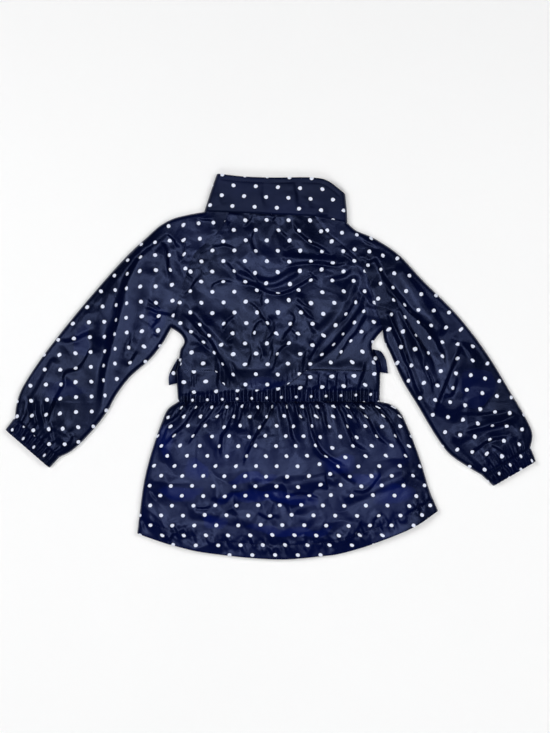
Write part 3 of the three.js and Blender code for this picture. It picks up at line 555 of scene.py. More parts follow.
def crease_field(p, creases, widen=0.0, start=CREASE_END):
    """Height and sideways shift of the cloth: each crease has a lip, a steep face and a trough."""
    height = np.zeros(len(p))
    shift = np.zeros((len(p), 2))
    p = bent(p)
    for crease in creases:
        route = smooth(crease.route, 2.0)
        reach = CREASE_REACH * crease.half
        inside = np.all((p > route.min(0) - reach) & (p < route.max(0) + reach), axis=1)
        if not inside.any():
            continue
        starts, ends = segments([route])
        d, number, share, side = nearest(p[inside], starts, ends)
        along = (number + share) / len(starts)
        taper = ramp(along / start) * ramp((1 - along) / CREASE_END)
        taper = taper * (0.85 + 0.3 * noise_along(40 * along, 9, 5))
        middle = route[len(route) // 2 + 1] - route[len(route) // 2 - 1]
        lip = 1 if -middle[1] * LIP_SIDE[0] + middle[0] * LIP_SIDE[1] > 0 else -1
        half = crease.half * (1 + widen * (along - 0.4))
        u = side * lip * d / half
        face = 0.5 * (1 + np.tanh(u / FACE_WIDTH))
        ridge = LIP_HEIGHT * bell(np.maximum(u, 0), LIP_WIDTH, PROFILE_POWER)
        trough = TROUGH_DEPTH * bell(np.maximum(-u, 0), TROUGH_WIDTH, PROFILE_POWER)
        height[inside] += crease.depth * taper * (face * ridge - (1 - face) * trough)
        pull = 0.5 * crease.tuck * np.tanh(d / (0.8 * half)) * bell(d, 7 * half)
        shift[inside] += normals(ends - starts)[number] * (side * pull * taper)[:, None]
    return height, shift


def swell_field(p):
    """Height of the broad ridges."""
    height = np.zeros(len(p))
    for swell in SWELLS:
        d = distance(p, segments([smooth(swell.route, 4)])) / swell.half
        height += swell.height * 0.5 * (1 + np.cos(math.pi * np.clip(d, 0, 1)))
    return height


def crumple(p):
    """Crisp wrinkles: flat facets on turned grids, bent by a coarser noise, over a few broad ridges."""
    x, y = p.T
    wx = x + 9 * noise(x, y, 37, 1) + 3 * noise(x, y, 15, 2)
    wy = y + 9 * noise(x, y, 33, 3) + 3 * noise(x, y, 14, 4)
    ridge = 1 - np.abs(noise(0.88 * wx + 0.48 * wy, 0.66 * wy - 0.36 * wx, RIDGE_SIZE, 5))
    total = RIDGE_HEIGHT * (ridge**1.25 - 0.5)
    for layer in CRUMPLE_LAYERS:
        c, s = math.cos(layer.turn), math.sin(layer.turn)
        total += layer.height * facets(c * wx + s * wy, 0.7 * (c * wy - s * wx), layer.size, layer.seed)
    patch = 0.65 + 0.5 * noise(x, y, 60, 2)
    return total * patch * np.where(y < WAIST_BOTTOM, SKIRT_CRUMPLE, 1.0)


def body(d, roll=ROLL):
    """The plain lie of the coat at a distance from its side edges."""
    return RIM + RISE * quarter_round(d / roll)


def laid_cloth(p, creases):
    """Height of the outer face over p, and the shift of the cloth there."""
    x, y = p.T
    d = distance(p, EDGES)
    held = distance(p, TIGHT_SEAMS)
    loose = LOFT * ramp(d / LOFT_REACH) * (0.3 + 0.7 * ramp(held / LOFT_REACH))
    valleys, shift = crease_field(p, creases)
    on_sleeve = ramp((np.abs(x - COAT_MIDDLE) - BODY_HALF) / 30) * ramp((y - CUFF_Y) / 20)
    wrinkles = crumple(p) * (1 - 0.4 * on_sleeve) * ramp(d / 12)
    loose = loose + swell_field(p) * ramp(held / 12) + valleys + wrinkles
    # A soft floor, so that no valley cuts through the lower layers
    loose = 0.5 * (loose + np.sqrt(loose**2 + 0.6)) - 0.35
    seam = distance(p, RAGLANS)
    pucker = 0.22 * noise(0.3 * x, y, 4.5, 7) * bell(seam - 4.5, 3.0)
    dip = 0.12 * bell(seam - 4.2, 2.6) - 0.16 * bell(seam, 1.2) + pucker
    return body(d) + (loose + dip) * ramp(d / 14), shift


def gather_wave(phase, narrow):
    """Rolls of cloth with narrow valleys between them, from 0 to 1."""
    return 1 - (0.5 * (1 + np.cos(2 * math.pi * phase))) ** narrow


def elastic_rolls(x, y):
    """The rolls that the waist's elastic gathers, before they are spread over the skirt."""
    share = (x - WAIST_TOPS[0][0]) / (WAIST_TOPS[1][0] - WAIST_TOPS[0][0])
    phase = share * WAIST_GATHERS + 0.4 * noise(x, y, 21, 2) + 0.3 * noise(x, y, 9, 3)
    size = 0.85 + 0.4 * noise_along(x, 7, 4)
    return 2.5 * size * gather_wave(phase, 2.2) - 1.3


# The rolls of this row of the elastic go on into the skirt and into the edge that hangs over them
ROLLS_ROW = -12


def elastic_top(x):
    """The upper edge of the gathered elastic, which wanders across the coat."""
    return np.interp(x, [-130, -70, -20, 20, 60, 150], [-39, -37, -33.5, -29, -31, -34])


def waist_height(p, covered=True):
    """The waistband: soft above and gathered by elastic below, hollow where the back lies over it."""
    x, y = p.T
    top = elastic_top(x) + 1.8 * noise_along(x, 8, 1)
    d = distance(p, EDGES)
    tight = ramp((top + 5 - y) / 8)
    elastic = elastic_rolls(x, 0.25 * y) * tight
    valleys, shift = crease_field(p, WAIST_CREASES)
    soft_part = (1.1 + valleys + 0.7 * crumple(p)) * (1 - 0.85 * tight)
    seams = -0.1 * bell(y - WAIST_TOP, 1.2) - 0.35 * bell(y - top, 1.5)
    hollow = 2.2 * ramp((pouch_depth(p) + 0.1) / 3.0)
    return body(d) + (elastic + soft_part + seams - covered * hollow) * ramp(d / 10), shift


def pouch_depth(p):
    """Distance inside the lower edge of the back where it hangs over the waistband, negative outside."""
    x, y = p.T
    low = np.interp(x, *np.transpose(SLUMP))
    hanging = ramp((x + 80) / 6) * ramp((52 - x) / 6)
    d = distance(p, SLUMP_LINE)
    return np.where(y > low, d, -d) * hanging - 9 * (1 - hanging)


def back_height(p):
    """The back bodice, whose lower part slumps over the waistband between its two flush ends."""
    z, shift = laid_cloth(p, BACK_CREASES + WAIST_CREASES[:1] + WAIST_CREASES[-1:])
    x, y = p.T
    edge = distance(p, SLUMP_LINE)
    pouch = ramp((x + 84) / 34) * ramp((58 - x) / 20)
    valleys = crease_field(p, BACK_CREASES)[0]
    lift = 7.6 + 1.9 * ramp((x + 14) / 30)
    slope = 1.2 * quarter_round(edge / 4) + 3.6 * np.clip(edge / 27, 0, 1) ** 1.2
    hung = lift + slope + 0.8 * np.maximum(valleys, -2.2) + 0.5 * crumple(p)
    hung = hung + 0.6 * elastic_rolls(x, ROLLS_ROW + 0 * y) * bell(edge, 7)
    z = z + (np.maximum(hung, z) - z) * pouch * ramp((36 - y) / 40)
    # Its lower edge lies on the elastic and takes up its rolls; at the right it stands off a little
    resting = waist_height(p, covered=False)[0] + 0.55 + 1.6 * ramp((x - 6) / 22) * ramp((54 - x) / 8)
    z = z + (resting - z) * pouch * ramp((10 - y) / 12) * bell(edge, 4.5)
    # Along the waist seam the back lies flush with the waistband
    band = waist_height(np.stack([x, np.full(len(x), WAIST_TOP)], 1))[0]
    z = z + (band - z) * (1 - pouch) * bell(edge, 8) * ramp(distance(p, EDGES) / 9)
    neck = distance(p, NECK_LINE)
    z = z + 1.1 * noise(x, 0.4 * y, 8, 3) * bell(neck, 13) * ramp(neck / 2)
    return z - 0.7 * bell(neck, 1.5), shift


flare_lines = [smooth(side.flare, 3) for side in SIDES.values()]
HEM_CORNER_SLOPE = 0.42  # how fast the skirt's right edge runs on outwards below its hem corner


def fan_share(p):
    """How far across the skirt a point lies, from 0 at its left edge to 1 at its right."""
    y = p[:, 1]
    left, right = (np.interp(-y, -line[:, 1], line[:, 0]) for line in flare_lines)
    right = right + HEM_CORNER_SLOPE * np.maximum(HEM_ENDS[1][1] - y, 0)
    return (p[:, 0] - left) / (right - left)


def skirt_height(p):
    """The skirt's back: the elastic's rolls, pleats and long folds that fan out, and the hem's band."""
    x, y = p.T
    z, shift = laid_cloth(p, [crease._replace(depth=1.35 * crease.depth) for crease in SKIRT_CREASES])
    folds, drawn = crease_field(p, SKIRT_FOLDS, widen=1.3, start=0.12)
    d = distance(p, EDGES)
    s = fan_share(p)
    down = np.maximum(WAIST_BOTTOM - y, 0)
    at_waist = 274 * s - 126.5 + 0.06 * down * noise_along(200 * s, 12, 1)
    fine = elastic_rolls(at_waist, ROLLS_ROW + 0 * y) - 0.4
    phase = s * SKIRT_PLEATS + 0.7 * noise_along(90 * s, 21, 3) + 0.25 * noise(90 * s, y, 37, 4)
    pleats = gather_wave(phase, 1.6) * (0.62 + 0.6 * noise_along(110 * s, 13, 5))
    pleat_length = 40 + 24 * noise_along(120 * s, 15, 6)
    z = z + fine * bell(down, 12 + 5 * noise_along(x, 14, 1)) * ramp(d / 10)
    z = z + 1.25 * folds * ramp((down + 2) / 8) * ramp(d / 10)
    z = z + 2.6 * pleats * ramp((down + 2) / 10) * bell(down, pleat_length, 1.5) * ramp(d / 12)
    hem = distance(p, HEM_LINE)
    pucker = 1.7 * noise(1.5 * x + 0.5 * y, 0.5 * y, 8, 7) + 0.4 * noise(x, y, 5, 6)
    line = 0.35 + 0.35 * noise_along(x, 17, 2)
    z = z + 0.2 * ramp((HEM_BAND + 1.2 - hem) / 2.4) - line * bell(hem - HEM_BAND, 1.2)
    z = z + pucker * bell(hem - HEM_BAND, 10) - 0.35 * bell(hem, 0.8)
    return z, shift + drawn


def collar_height(p):
    """The stiff collar, pressed down along its stitched edge and at the neck seam."""
    d = distance(p, COLLAR_SIDES)
    edge = distance(p, COLLAR_EDGE)
    valleys, shift = crease_field(p, COLLAR_CREASES)
    free = 0.8 + valleys + 0.35 * crumple(p)
    stitched = -0.55 * bell(edge - COLLAR_STITCH, 1.0) - 0.5 * bell(edge, 1.0)
    z = COLLAR_RIM + COLLAR_RISE * quarter_round(d / ENDS_ROLL) + (free + stitched) * ramp(d / 9 + 0.3)
    return z - 1.2 * bell(distance(p, NECK_LINE), 1.6), shift


def cuff_height(seam, end):
    """The ridges of a gathered cuff, held down at its seam and at the casing's stitching."""
    axis, across = unit(end.mean(0) - seam.mean(0)), unit(seam[1] - seam[0])
    width = np.hypot(*(seam[1] - seam[0]))

    def height(p):
        s, t = (p - seam[0]) @ across / width, (p - seam[0]) @ axis
        d = distance(p, EDGES)
        phase = s * CUFF_GATHERS + 0.25 * noise(*p.T, 11, 2) + 0.2 * noise(*p.T, 25, 3)
        size = (0.85 + 0.3 * noise_along(60 * s, 9, 5)) * (0.55 + 0.45 * ramp(t / 5))
        ridges = 2.6 * (gather_wave(phase, 1.6) - 0.35) * size * (1 - 0.3 * ramp((t - CUFF_CASING + 1) / 5))
        lines = -0.5 * bell(t, 1.3) - 0.35 * bell(t - CUFF_CASING, 0.9)
        return body(d, ENDS_ROLL) + (ridges + lines) * ramp(d / 8), np.zeros((len(p), 2))

    return height


# A smooth facet of the right sleeve, highest along this line
FACET = np.array([(260.0, 36.0), (219.0, -66.0)])
FACET_HEIGHT = 5.0
FACET_REACH = 62


def facet_height(p):
    """Height of the smooth facet, which falls away evenly on one side of its line."""
    run = FACET[1] - FACET[0]
    along = ((p - FACET[0]) @ run) / (run @ run)
    beyond = (p - FACET[0]) @ (np.array([-run[1], run[0]]) / np.hypot(*run))
    ends = ramp(along / 0.2) * ramp((1 - along) / 0.2)
    return FACET_HEIGHT * ramp((beyond + 4) / 6) * np.clip(1 - beyond / FACET_REACH, 0, 1) * ends


def sleeve_height(seam, creases):
    """A sleeve, with the cuff's gathers fanning out into it from its seam."""
    seam = np.array(seam, float)
    across = unit(seam[1] - seam[0])
    width = np.hypot(*(seam[1] - seam[0]))
    creases = [crease._replace(depth=1.3 * crease.depth) for crease in creases]

    def height(p):
        z, shift = laid_cloth(p, creases)
        d = distance(p, EDGES)
        away = distance(p, (seam[:1], seam[1:]))
        s = (p - seam[0]) @ across / width
        fan = 0.5 + (s - 0.5) / (1 + away / 130)
        fine = gather_wave(fan * CUFF_GATHERS + 0.3 * noise(*p.T, 17, 2), 2.0) - 0.3
        pleats = gather_wave(fan * SLEEVE_PLEATS + 0.5 * noise_along(fan * 40, 11, 3), 1.5)
        z = z + (1.7 * fine * bell(away, 11, 1.4) - 0.8 * bell(away, 1.3)) * ramp(d / 10)
        z = z + 1.8 * pleats * bell(away, 34, 1.6) * ramp(d / 12)
        return z + facet_height(p) * ramp(d / 14), shift

    return height


# Meshes

EDGE_ROWS = (0.12, 0.45, 1.0, 1.9, 3.2, 5.0)  # distances of rows of points from a side edge
SEAM_ROWS = (0.7, 1.5, 2.6)
LOWER_ROWS = (0.35, 1.0, 2.0)
LOWER_STEP = 7.0
LOWER_CURL = 2.2  # width over which the lower sheet curls up to a side edge
ROW_HEIGHT = 0.866  # of a row of even triangles, over their width


def ring_segments(outline):
    """The segments of a closed outline."""
    return outline, np.roll(outline, -1, axis=0)


def interior_grid(outline, step):
    """Points of an even grid of triangles inside an outline's box, clear of its edges."""
    low, high = outline.min(0), outline.max(0)
    rows = []
    for k, y in enumerate(np.arange(low[1], high[1], step * ROW_HEIGHT)):
        xs = np.arange(low[0] + (k % 2) * step / 2, high[0], step)
        rows.append(np.stack([xs, np.full(len(xs), y)], 1))
    grid = np.vstack(rows)
    return grid[distance(grid, ring_segments(outline)) > 0.75 * step]


def offset_rows(lines, offsets, outline):
    """Rows of points just inside an outline's edges, where the cloth bends fastest."""
    found = [np.zeros((0, 2))]
    for line in lines:
        for off in offsets:
            for sign in (-1, 1):
                row = beside(line, sign * off)
                found.append(row[distance(row, ring_segments(outline)) > 0.93 * off])
    return np.vstack(found)


def turns(points, faces):
    """Twice the area of each triangle in the plan, negative where it looks down."""
    a, b, c = (points[faces[:, i], :2] for i in range(3))
    return (b - a)[:, 0] * (c - a)[:, 1] - (b - a)[:, 1] * (c - a)[:, 0]


def flat_sheet(outline, step, edges=(), edge_rows=(), seams=(), seam_rows=()):
    """A plane triangle mesh inside an outline: points and faces."""
    outline = np.asarray(outline, float)
    grid = interior_grid(outline, step)
    extra = []
    for lines, offsets in ((edges, edge_rows), (seams, seam_rows)):
        if len(lines):
            grid = grid[distance(grid, segments(lines)) > offsets[-1] + 0.6 * step]
            extra.append(offset_rows(lines, offsets, outline))
    points = np.vstack([outline] + extra + [grid])
    ring = list(range(len(outline)))
    found = delaunay_2d_cdt([Vector(p) for p in points.tolist()], [], [ring], 1, 1e-6)
    verts = np.array([(v.x, v.y) for v in found[0]])
    faces = np.array([face for face in found[2] if len(face) == 3])
    used = np.unique(faces)
    renumber = np.zeros(len(verts), int)
    renumber[used] = np.arange(len(used))
    verts, faces = verts[used], renumber[faces]
    down = turns(verts, faces) < 0
    faces[down] = faces[down][:, ::-1]
    return verts, faces


def blur(field, reach):
    """Two passes of a box blur each way, with its edges held."""
    width = 2 * reach + 1
    for axis in (0, 1, 0, 1):
        first, last = field.take([0], axis), field.take([-1], axis)
        before, after = np.repeat(first, reach, axis), np.repeat(last, reach, axis)
        total = np.cumsum(np.concatenate([before, field, after], axis), axis)
        total = np.concatenate([np.zeros_like(total.take([0], axis)), total], axis)
        length = field.shape[axis]
        field = (total.take(range(width, width + length), axis) - total.take(range(length), axis)) / width
    return field


SLOPE_CELL = 2.0
STEEPEST = 1.6
SLOW_CELLS = 11
ARC_SHARE = 0.65


def arc_shift(p, height):
    """How far the cloth is drawn sideways by its own slopes, with the slow part taken out."""
    low, high = p.min(0) - 4, p.max(0) + 4
    xs, ys = np.arange(low[0], high[0], SLOPE_CELL), np.arange(low[1], high[1], SLOPE_CELL)
    gx, gy = np.meshgrid(xs, ys, indexing="ij")
    z = height(np.stack([gx.ravel(), gy.ravel()], 1))[0].reshape(gx.shape)
    fx, fy = (p[:, 0] - xs[0]) / SLOPE_CELL, (p[:, 1] - ys[0]) / SLOPE_CELL
    ix, iy = np.clip(fx.astype(int), 0, len(xs) - 2), np.clip(fy.astype(int), 0, len(ys) - 2)
    fx, fy = fx - ix, fy - iy
    drawn = []
    for axis in (0, 1):
        slope = np.clip(np.gradient(z, SLOPE_CELL, axis=axis), -STEEPEST, STEEPEST)
        extra = np.cumsum(np.sqrt(1 + slope**2) - 1, axis=axis) * SLOPE_CELL
        extra = extra - blur(extra, SLOW_CELLS)
        near = extra[ix, iy] * (1 - fx) + extra[ix + 1, iy] * fx
        far = extra[ix, iy + 1] * (1 - fx) + extra[ix + 1, iy + 1] * fx
        drawn.append(near * (1 - fy) + far * fy)
    return ARC_SHARE * np.stack(drawn, 1)


def grain(degrees, dot, closer=(1.0, 1.0)):
    """Cloth coordinates for a grain turned by an angle, with a dot of the pattern at a given place.

    Where small wrinkles take up cloth, the dots lie a little closer than they were printed.
    """
    c, s = math.cos(math.radians(degrees)), math.sin(math.radians(degrees))
    turn = np.array([[c, s], [-s, c]])
    return lambda p: ((p - np.array(dot, float)) @ turn.T) * np.array(closer)


def painted_sheen_at(p):
    """How strong the painted blue sheen is at each point, from 0 to 1: a reflection painted into the
    cloth's colour.
    """
    x, y = bent(p).T
    x = x + 9 * noise(x, y, 26, 6)
    y = y + 6 * noise(x, y, 19, 5)
    near = np.zeros(len(p))
    for patch in PAINTED_SHEEN_PATCHES:
        away = np.hypot((x - patch.x) / patch.half_x, (y - patch.y) / patch.half_y)
        near = np.maximum(near, ramp(1.5 - away))
    folded = 1 - np.abs(noise(0.6 * x + 0.5 * y, y - 0.3 * x, 17, 1))
    broken = ramp((near - 0.55 * folded + 0.35 * noise(x, y, 12, 3)) / 0.22)
    # the lower skirt gets a faint painted sheen all over, under the patches
    skirt = ramp((-60 - y) / 60) * ramp((190 - np.abs(x)) / 20)
    return np.clip(0.2 * skirt + 0.5 * near * broken * (0.45 + 0.55 * skirt), 0, 1)


# Sheets that share an edge are welded there, and folds sharper than this angle keep their edge
WELD = 0.002 * MM
SHARP = math.radians(62)


def link(obj):
    """An object, put into the scene."""
    bpy.context.scene.collection.objects.link(obj)
    return obj


def new_object(name, mesh, materials):
    """A mesh object in the scene, shaded smooth, with its materials."""
    mesh.polygons.foreach_set("use_smooth", np.ones(len(mesh.polygons), bool))
    for material in materials:
        mesh.materials.append(material)
    return link(bpy.data.objects.new(name, mesh))


def make_piece(name, parts, materials, node, thickness=SKIN):
    """Joins sheets (points, faces, uvs), welds their shared edges, and thickens them into cloth."""
    points = np.vstack([part[0] for part in parts])
    uvs = np.vstack([part[2] for part in parts])
    starts = np.cumsum([0] + [len(part[0]) for part in parts])
    faces = np.vstack([part[1] + start for part, start in zip(parts, starts)])
    mesh = bpy.data.meshes.new(name)
    mesh.from_pydata((points * MM).tolist(), [], faces.tolist())
    loops = np.zeros(len(mesh.loops), int)
    mesh.loops.foreach_get("vertex_index", loops)
    layer = mesh.uv_layers.new(name="cloth")
    layer.data.foreach_set("uv", (uvs[loops] * MM).astype(np.float32).ravel())
    # painted sheen: a blue reflection painted into the colour, only on the sheets that face up
    painted_sheen = mesh.attributes.new("painted_sheen", "FLOAT", "POINT")
    painted_sheen_values = np.concatenate([painted_sheen_at(part[0][:, :2]) * (turns(part[0], part[1][:1]) > 0) for part in parts])
    painted_sheen.data.foreach_set("value", painted_sheen_values.astype(np.float32))
    bm = bmesh.new()
    bm.from_mesh(mesh)
    bmesh.ops.remove_doubles(bm, verts=bm.verts, dist=WELD)
    bm.to_mesh(mesh)
    bm.free()
    obj = new_object(name, mesh, materials)
    solid = obj.modifiers.new("cloth", "SOLIDIFY")
    solid.thickness = thickness * MM
    solid.offset = -1
    solid.material_offset = 1
    apply_modifiers(obj)
    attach(obj, "root")
    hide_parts(node)
    return obj


def apply_modifiers(obj):
    """Replaces an object's mesh by what its modifiers make of it."""
    depsgraph = bpy.context.evaluated_depsgraph_get()
    mesh = bpy.data.meshes.new_from_object(obj.evaluated_get(depsgraph))
    obj.modifiers.clear()
    old = obj.data
    obj.data = mesh
    bpy.data.meshes.remove(old)
    mesh.name = obj.name
    mesh.set_sharp_from_angle(angle=SHARP)


def upper_sheet(outline, height, cloth, step=STEP, closed=(), seams=(), edge_height=RIM):
    """The visible sheet: its points at their heights, and its cloth coordinates."""
    verts, faces = flat_sheet(outline, step, closed, EDGE_ROWS, seams, SEAM_ROWS)
    z, shift = height(verts)
    z[distance(verts, segments(closed)) < WELD_REACH] = edge_height
    uvs = cloth(verts + shift + arc_shift(verts, height))
    return np.column_stack([verts, z]), faces, uvs


def lower_sheet(outline, cloth, closed, edge_height=RIM, step=LOWER_STEP):
    """The sheet that lies on the surface, curling up to the side edges."""
    verts, faces = flat_sheet(outline, step, closed, LOWER_ROWS)
    d = distance(verts, segments(closed))
    z = np.where(d < WELD_REACH, edge_height, edge_height * (1 - quarter_round(d / LOWER_CURL)))
    return np.column_stack([verts, z]), faces[:, ::-1], cloth(verts)


def flat_area(outline):
    """The area inside an outline, in square metres."""
    x, y = np.asarray(outline).T
    return 0.5 * abs(np.dot(x, np.roll(y, -1)) - np.dot(y, np.roll(x, -1))) * MM**2


def loop(*lines):
    """One closed outline from lines that follow each other, without doubled corners."""
    points = []
    for line in lines:
        for p in np.asarray(line, float):
            if not points or np.hypot(*(p - points[-1])) > 1e-6:
                points.append(p)
    if np.hypot(*(points[0] - points[-1])) < 1e-6:
        points.pop()
    return np.array(points)


# Materials

NAVY = (0.0007, 0.002, 0.012, 1)
NAVY_BLUE = (0.0005, 0.002, 0.02, 1)
# painted reflection: the colour of the blue sheen that is painted into the base colour
PAINTED_SHEEN_BLUE = (0.001, 0.0052, 0.08, 1)
DOT_WHITE = (0.72, 0.76, 0.88, 1)
BLUE_REFLECTION = (0.4, 0.51, 0.97, 1)
THREAD_DARK, THREAD_LIGHT = (0.002, 0.004, 0.02, 1), (0.008, 0.012, 0.04, 1)
FLOOR_DARK, FLOOR_LIGHT = (0.90, 0.90, 0.90, 1), (0.93, 0.93, 0.93, 1)
DOT_BLUR = 0.008  # half the width of a dot's soft edge, as a share of a square of the grid
THREADS_PER_METRE = 420.0


def fill(tree, node, inputs):
    """Links or sets a node's inputs."""
    for key, value in inputs.items():
        if isinstance(value, bpy.types.NodeSocket):
            tree.links.new(value, node.inputs[key])
        else:
            node.inputs[key].default_value = value


def add_node(tree, kind, output, inputs, **settings):
    """Adds a shader node and returns one of its outputs."""
    node = tree.nodes.new("ShaderNode" + kind)
    for key, value in settings.items():
        setattr(node, key, value)
    fill(tree, node, inputs)
    return node.outputs[output]


def mix(tree, factor, first, second):
    """A colour between two others."""
    return add_node(tree, "Mix", "Result", {"Factor": factor, "A": first, "B": second}, data_type="RGBA")


def map_range(tree, value, limits, **settings):
    """A value carried from one range to another."""
    return add_node(tree, "MapRange", "Result", {"Value": value, **limits}, **settings)


def noise_texture(tree, place, scale, detail, **inputs):
    """Cloudy noise."""
    return add_node(tree, "TexNoise", "Fac", {"Vector": place, "Scale": scale, "Detail": detail, **inputs})


def vector_math(tree, operation, *vectors, output="Vector"):
    """One step of arithmetic with vectors."""
    return add_node(tree, "VectorMath", output, dict(enumerate(vectors)), operation=operation)


def bump(tree, height, strength, depth, **inputs):
    """A relief over the normal that is handed in."""
    inputs = {"Height": height, "Strength": strength, "Distance": depth, **inputs}
    return add_node(tree, "Bump", "Normal", inputs)


def make_material(name, build):
    """A material whose shader takes the inputs that a function builds in its tree."""
    material = bpy.data.materials.new(name)
    material.use_nodes = True
    tree = material.node_tree
    fill(tree, tree.nodes["Principled BSDF"], build(tree))
    return material


def printed_dots(tree, uv):
    """1 inside the dots, which sit on a square grid that is turned by half a right angle."""
    turn = {"Rotation": (0, 0, math.radians(45)), "Scale": (math.sqrt(2) / (DOT_REPEAT * MM),) * 2 + (1,)}
    turned = add_node(tree, "Mapping", "Vector", {"Vector": uv, "Location": (0.5, 0.5, 0), **turn})
    cell = vector_math(tree, "FRACTION", turned)
    centred = vector_math(tree, "SUBTRACT", cell, (0.5, 0.5, 0))
    flat = vector_math(tree, "MULTIPLY", centred, (1, 1, 0))
    away = vector_math(tree, "LENGTH", flat, output="Value")
    limits = {"From Min": DOT_RADIUS + DOT_BLUR, "From Max": DOT_RADIUS - DOT_BLUR}
    return map_range(tree, away, limits, interpolation_type="SMOOTHSTEP")


def woven_relief(tree, uv, ridged):
    """The normal of the weave, of a fine crinkle and of faint ridges."""
    weave = {"Vector": uv, "Scale": THREADS_PER_METRE, "Distortion": 0.4}
    warp, weft = (add_node(tree, "TexWave", "Fac", weave, bands_direction=axis) for axis in "XY")
    threads = add_node(tree, "Math", "Value", {0: warp, 1: weft}, operation="ADD")
    crinkle = noise_texture(tree, uv, 210.0, 5.0, Roughness=0.62)
    ridges = add_node(
        tree, "TexNoise", "Fac",
        {"Vector": uv, "Scale": 34.0, "Detail": 1.6, "Roughness": 0.45, "Distortion": 0.5},
        noise_type="RIDGED_MULTIFRACTAL",
    )
    fine = bump(tree, threads, 0.08, 0.1 * MM)
    crinkled = bump(tree, crinkle, 0.05, 1.2 * MM, Normal=fine)
    return bump(tree, ridges, ridged, 1.6 * MM, Normal=crinkled)


def dotted_cloth(name, dots=True, roughness=0.24, ridged=0.05):
    """Coated navy taffeta: printed dots, a fine weave, a faint crinkle and a painted blue sheen in its
    colour.
    """

    def build(tree):
        uv = add_node(tree, "UVMap", "UV", {}, uv_map="cloth")
        limits = {"From Min": 0.35, "From Max": 0.7}
        shade = map_range(tree, noise_texture(tree, uv, 9.0, 3.0), limits, interpolation_type="SMOOTHSTEP")
        # painted sheen: the blue reflection is painted into the base colour where the attribute is high
        painted_sheen = add_node(tree, "Attribute", "Fac", {}, attribute_name="painted_sheen")
        base = mix(tree, painted_sheen, mix(tree, shade, NAVY, NAVY_BLUE), PAINTED_SHEEN_BLUE)
        if dots:
            base = mix(tree, printed_dots(tree, uv), base, DOT_WHITE)
        limits = {"To Min": roughness - 0.05, "To Max": roughness + 0.07}
        return {
            "Base Color": base,
            "Roughness": map_range(tree, noise_texture(tree, uv, 60.0, 4.0), limits),
            "Normal": woven_relief(tree, uv, ridged),
            "Specular IOR Level": 0.5,
            "Specular Tint": BLUE_REFLECTION,
            "Sheen Weight": 0.01,
            "Sheen Roughness": 0.4,
        }

    return make_material(name, build)


def speckled(name, dark, light, scale, detail, roughness, specular):
    """A plain matt material whose colour wanders a little between two tones."""

    def build(tree):
        place = add_node(tree, "TexCoord", "Object", {})
        colour = mix(tree, noise_texture(tree, place, scale, detail), dark, light)
        return {"Base Color": colour, "Roughness": roughness, "Specular IOR Level": specular}

    return make_material(name, build)


taffeta = dotted_cloth("dotted_taffeta")
collar_taffeta = dotted_cloth("dotted_taffeta_stiffened", roughness=0.42, ridged=0.03)
lining = dotted_cloth("lining_taffeta", dots=False, roughness=0.5)
thread = speckled("stitching_thread", THREAD_DARK, THREAD_LIGHT, 900.0, 2.0, 0.5, 0.2)
shell = (taffeta, lining)

# The pieces

SLEEVE_EASE = 1.04  # how much more cloth a sleeve holds than its laid outline, for its small wrinkles
BACK_EASE = 1.06
CUFF_SPREAD = 0.6  # how much more cloth a cuff's gathers hold than its width
FRONT_HEIGHT, FRONT_WAVE = 0.25, 0.12  # of the outer side of the fronts, over the floor


def curved(side):
    """The same side of the coat with its lines as soft curves."""
    names = ("shoulder", "underarm", "raglan", "seam", "flare", "collar")
    return side._replace(**{name: smooth(getattr(side, name)) for name in names})


CURVES = {name: curved(side) for name, side in SIDES.items()}
hem, slump, collar_top = smooth(HEM), smooth(SLUMP), smooth(COLLAR_TOP)


def centre_at(y):
    """Where the coat's centre front lies at a height of the plan."""
    return CENTRE_NECK + (NECK_Y - y) / (NECK_Y - HEM_Y) * (CENTRE_HEM - CENTRE_NECK)


def start_at(line, point):
    """A line whose first point is moved to another."""
    return np.vstack([point, line[1:]])


def sleeve(name, creases, degrees, dot):
    """A raglan sleeve, closed along the shoulder and the underarm."""
    side = CURVES[name]
    raglan = shifted(side.raglan, side.sign * SEAM_HALF, 0)
    under = start_at(side.underarm[::-1], raglan[-1])[::-1]
    cuff_seam = resample(side.cuff_seam)
    neck = resample([side.shoulder[-1], raglan[0]])
    outline = loop(side.shoulder, neck, raglan, under[::-1], cuff_seam[::-1])
    closed, seams = [side.shoulder, under], [raglan, cuff_seam, neck]
    cloth = grain(degrees, dot, (1.03, 1.03))
    top = upper_sheet(outline, sleeve_height(side.cuff_seam, creases), cloth, closed=closed, seams=seams)
    bottom = lower_sheet(outline, cloth, closed)
    piece = make_piece(f"sleeve_{name}_cloth", [top, bottom], shell, f"sleeve_{name}")
    area = 2 * flat_area(outline) * SLEEVE_EASE


def cuff(name, degrees):
    """An elastic cuff, whose cloth is gathered across it."""
    side = CURVES[name]
    seam, end = np.array(side.cuff_seam, float), np.array(side.cuff_end, float)
    seam_line, end_line = resample(seam, 1.0), resample(end, 1.0)
    edges = [resample(pair, 1.0) for pair in zip(seam, end)]
    outline = loop(seam_line, edges[1], end_line[::-1], edges[0][::-1])
    base = grain(degrees, seam[0])
    across = unit(seam[1] - seam[0])

    def cloth(p):
        spread = (p - seam[0]) @ across
        return base(p + np.outer(CUFF_SPREAD * spread, across))

    top = upper_sheet(outline, cuff_height(seam, end), cloth, 1.0, edges, [seam_line, end_line])
    bottom = lower_sheet(outline, cloth, edges, step=4.0)
    piece = make_piece(f"cuff_{name}_cloth", [top, bottom], shell, f"cuff_{name}")


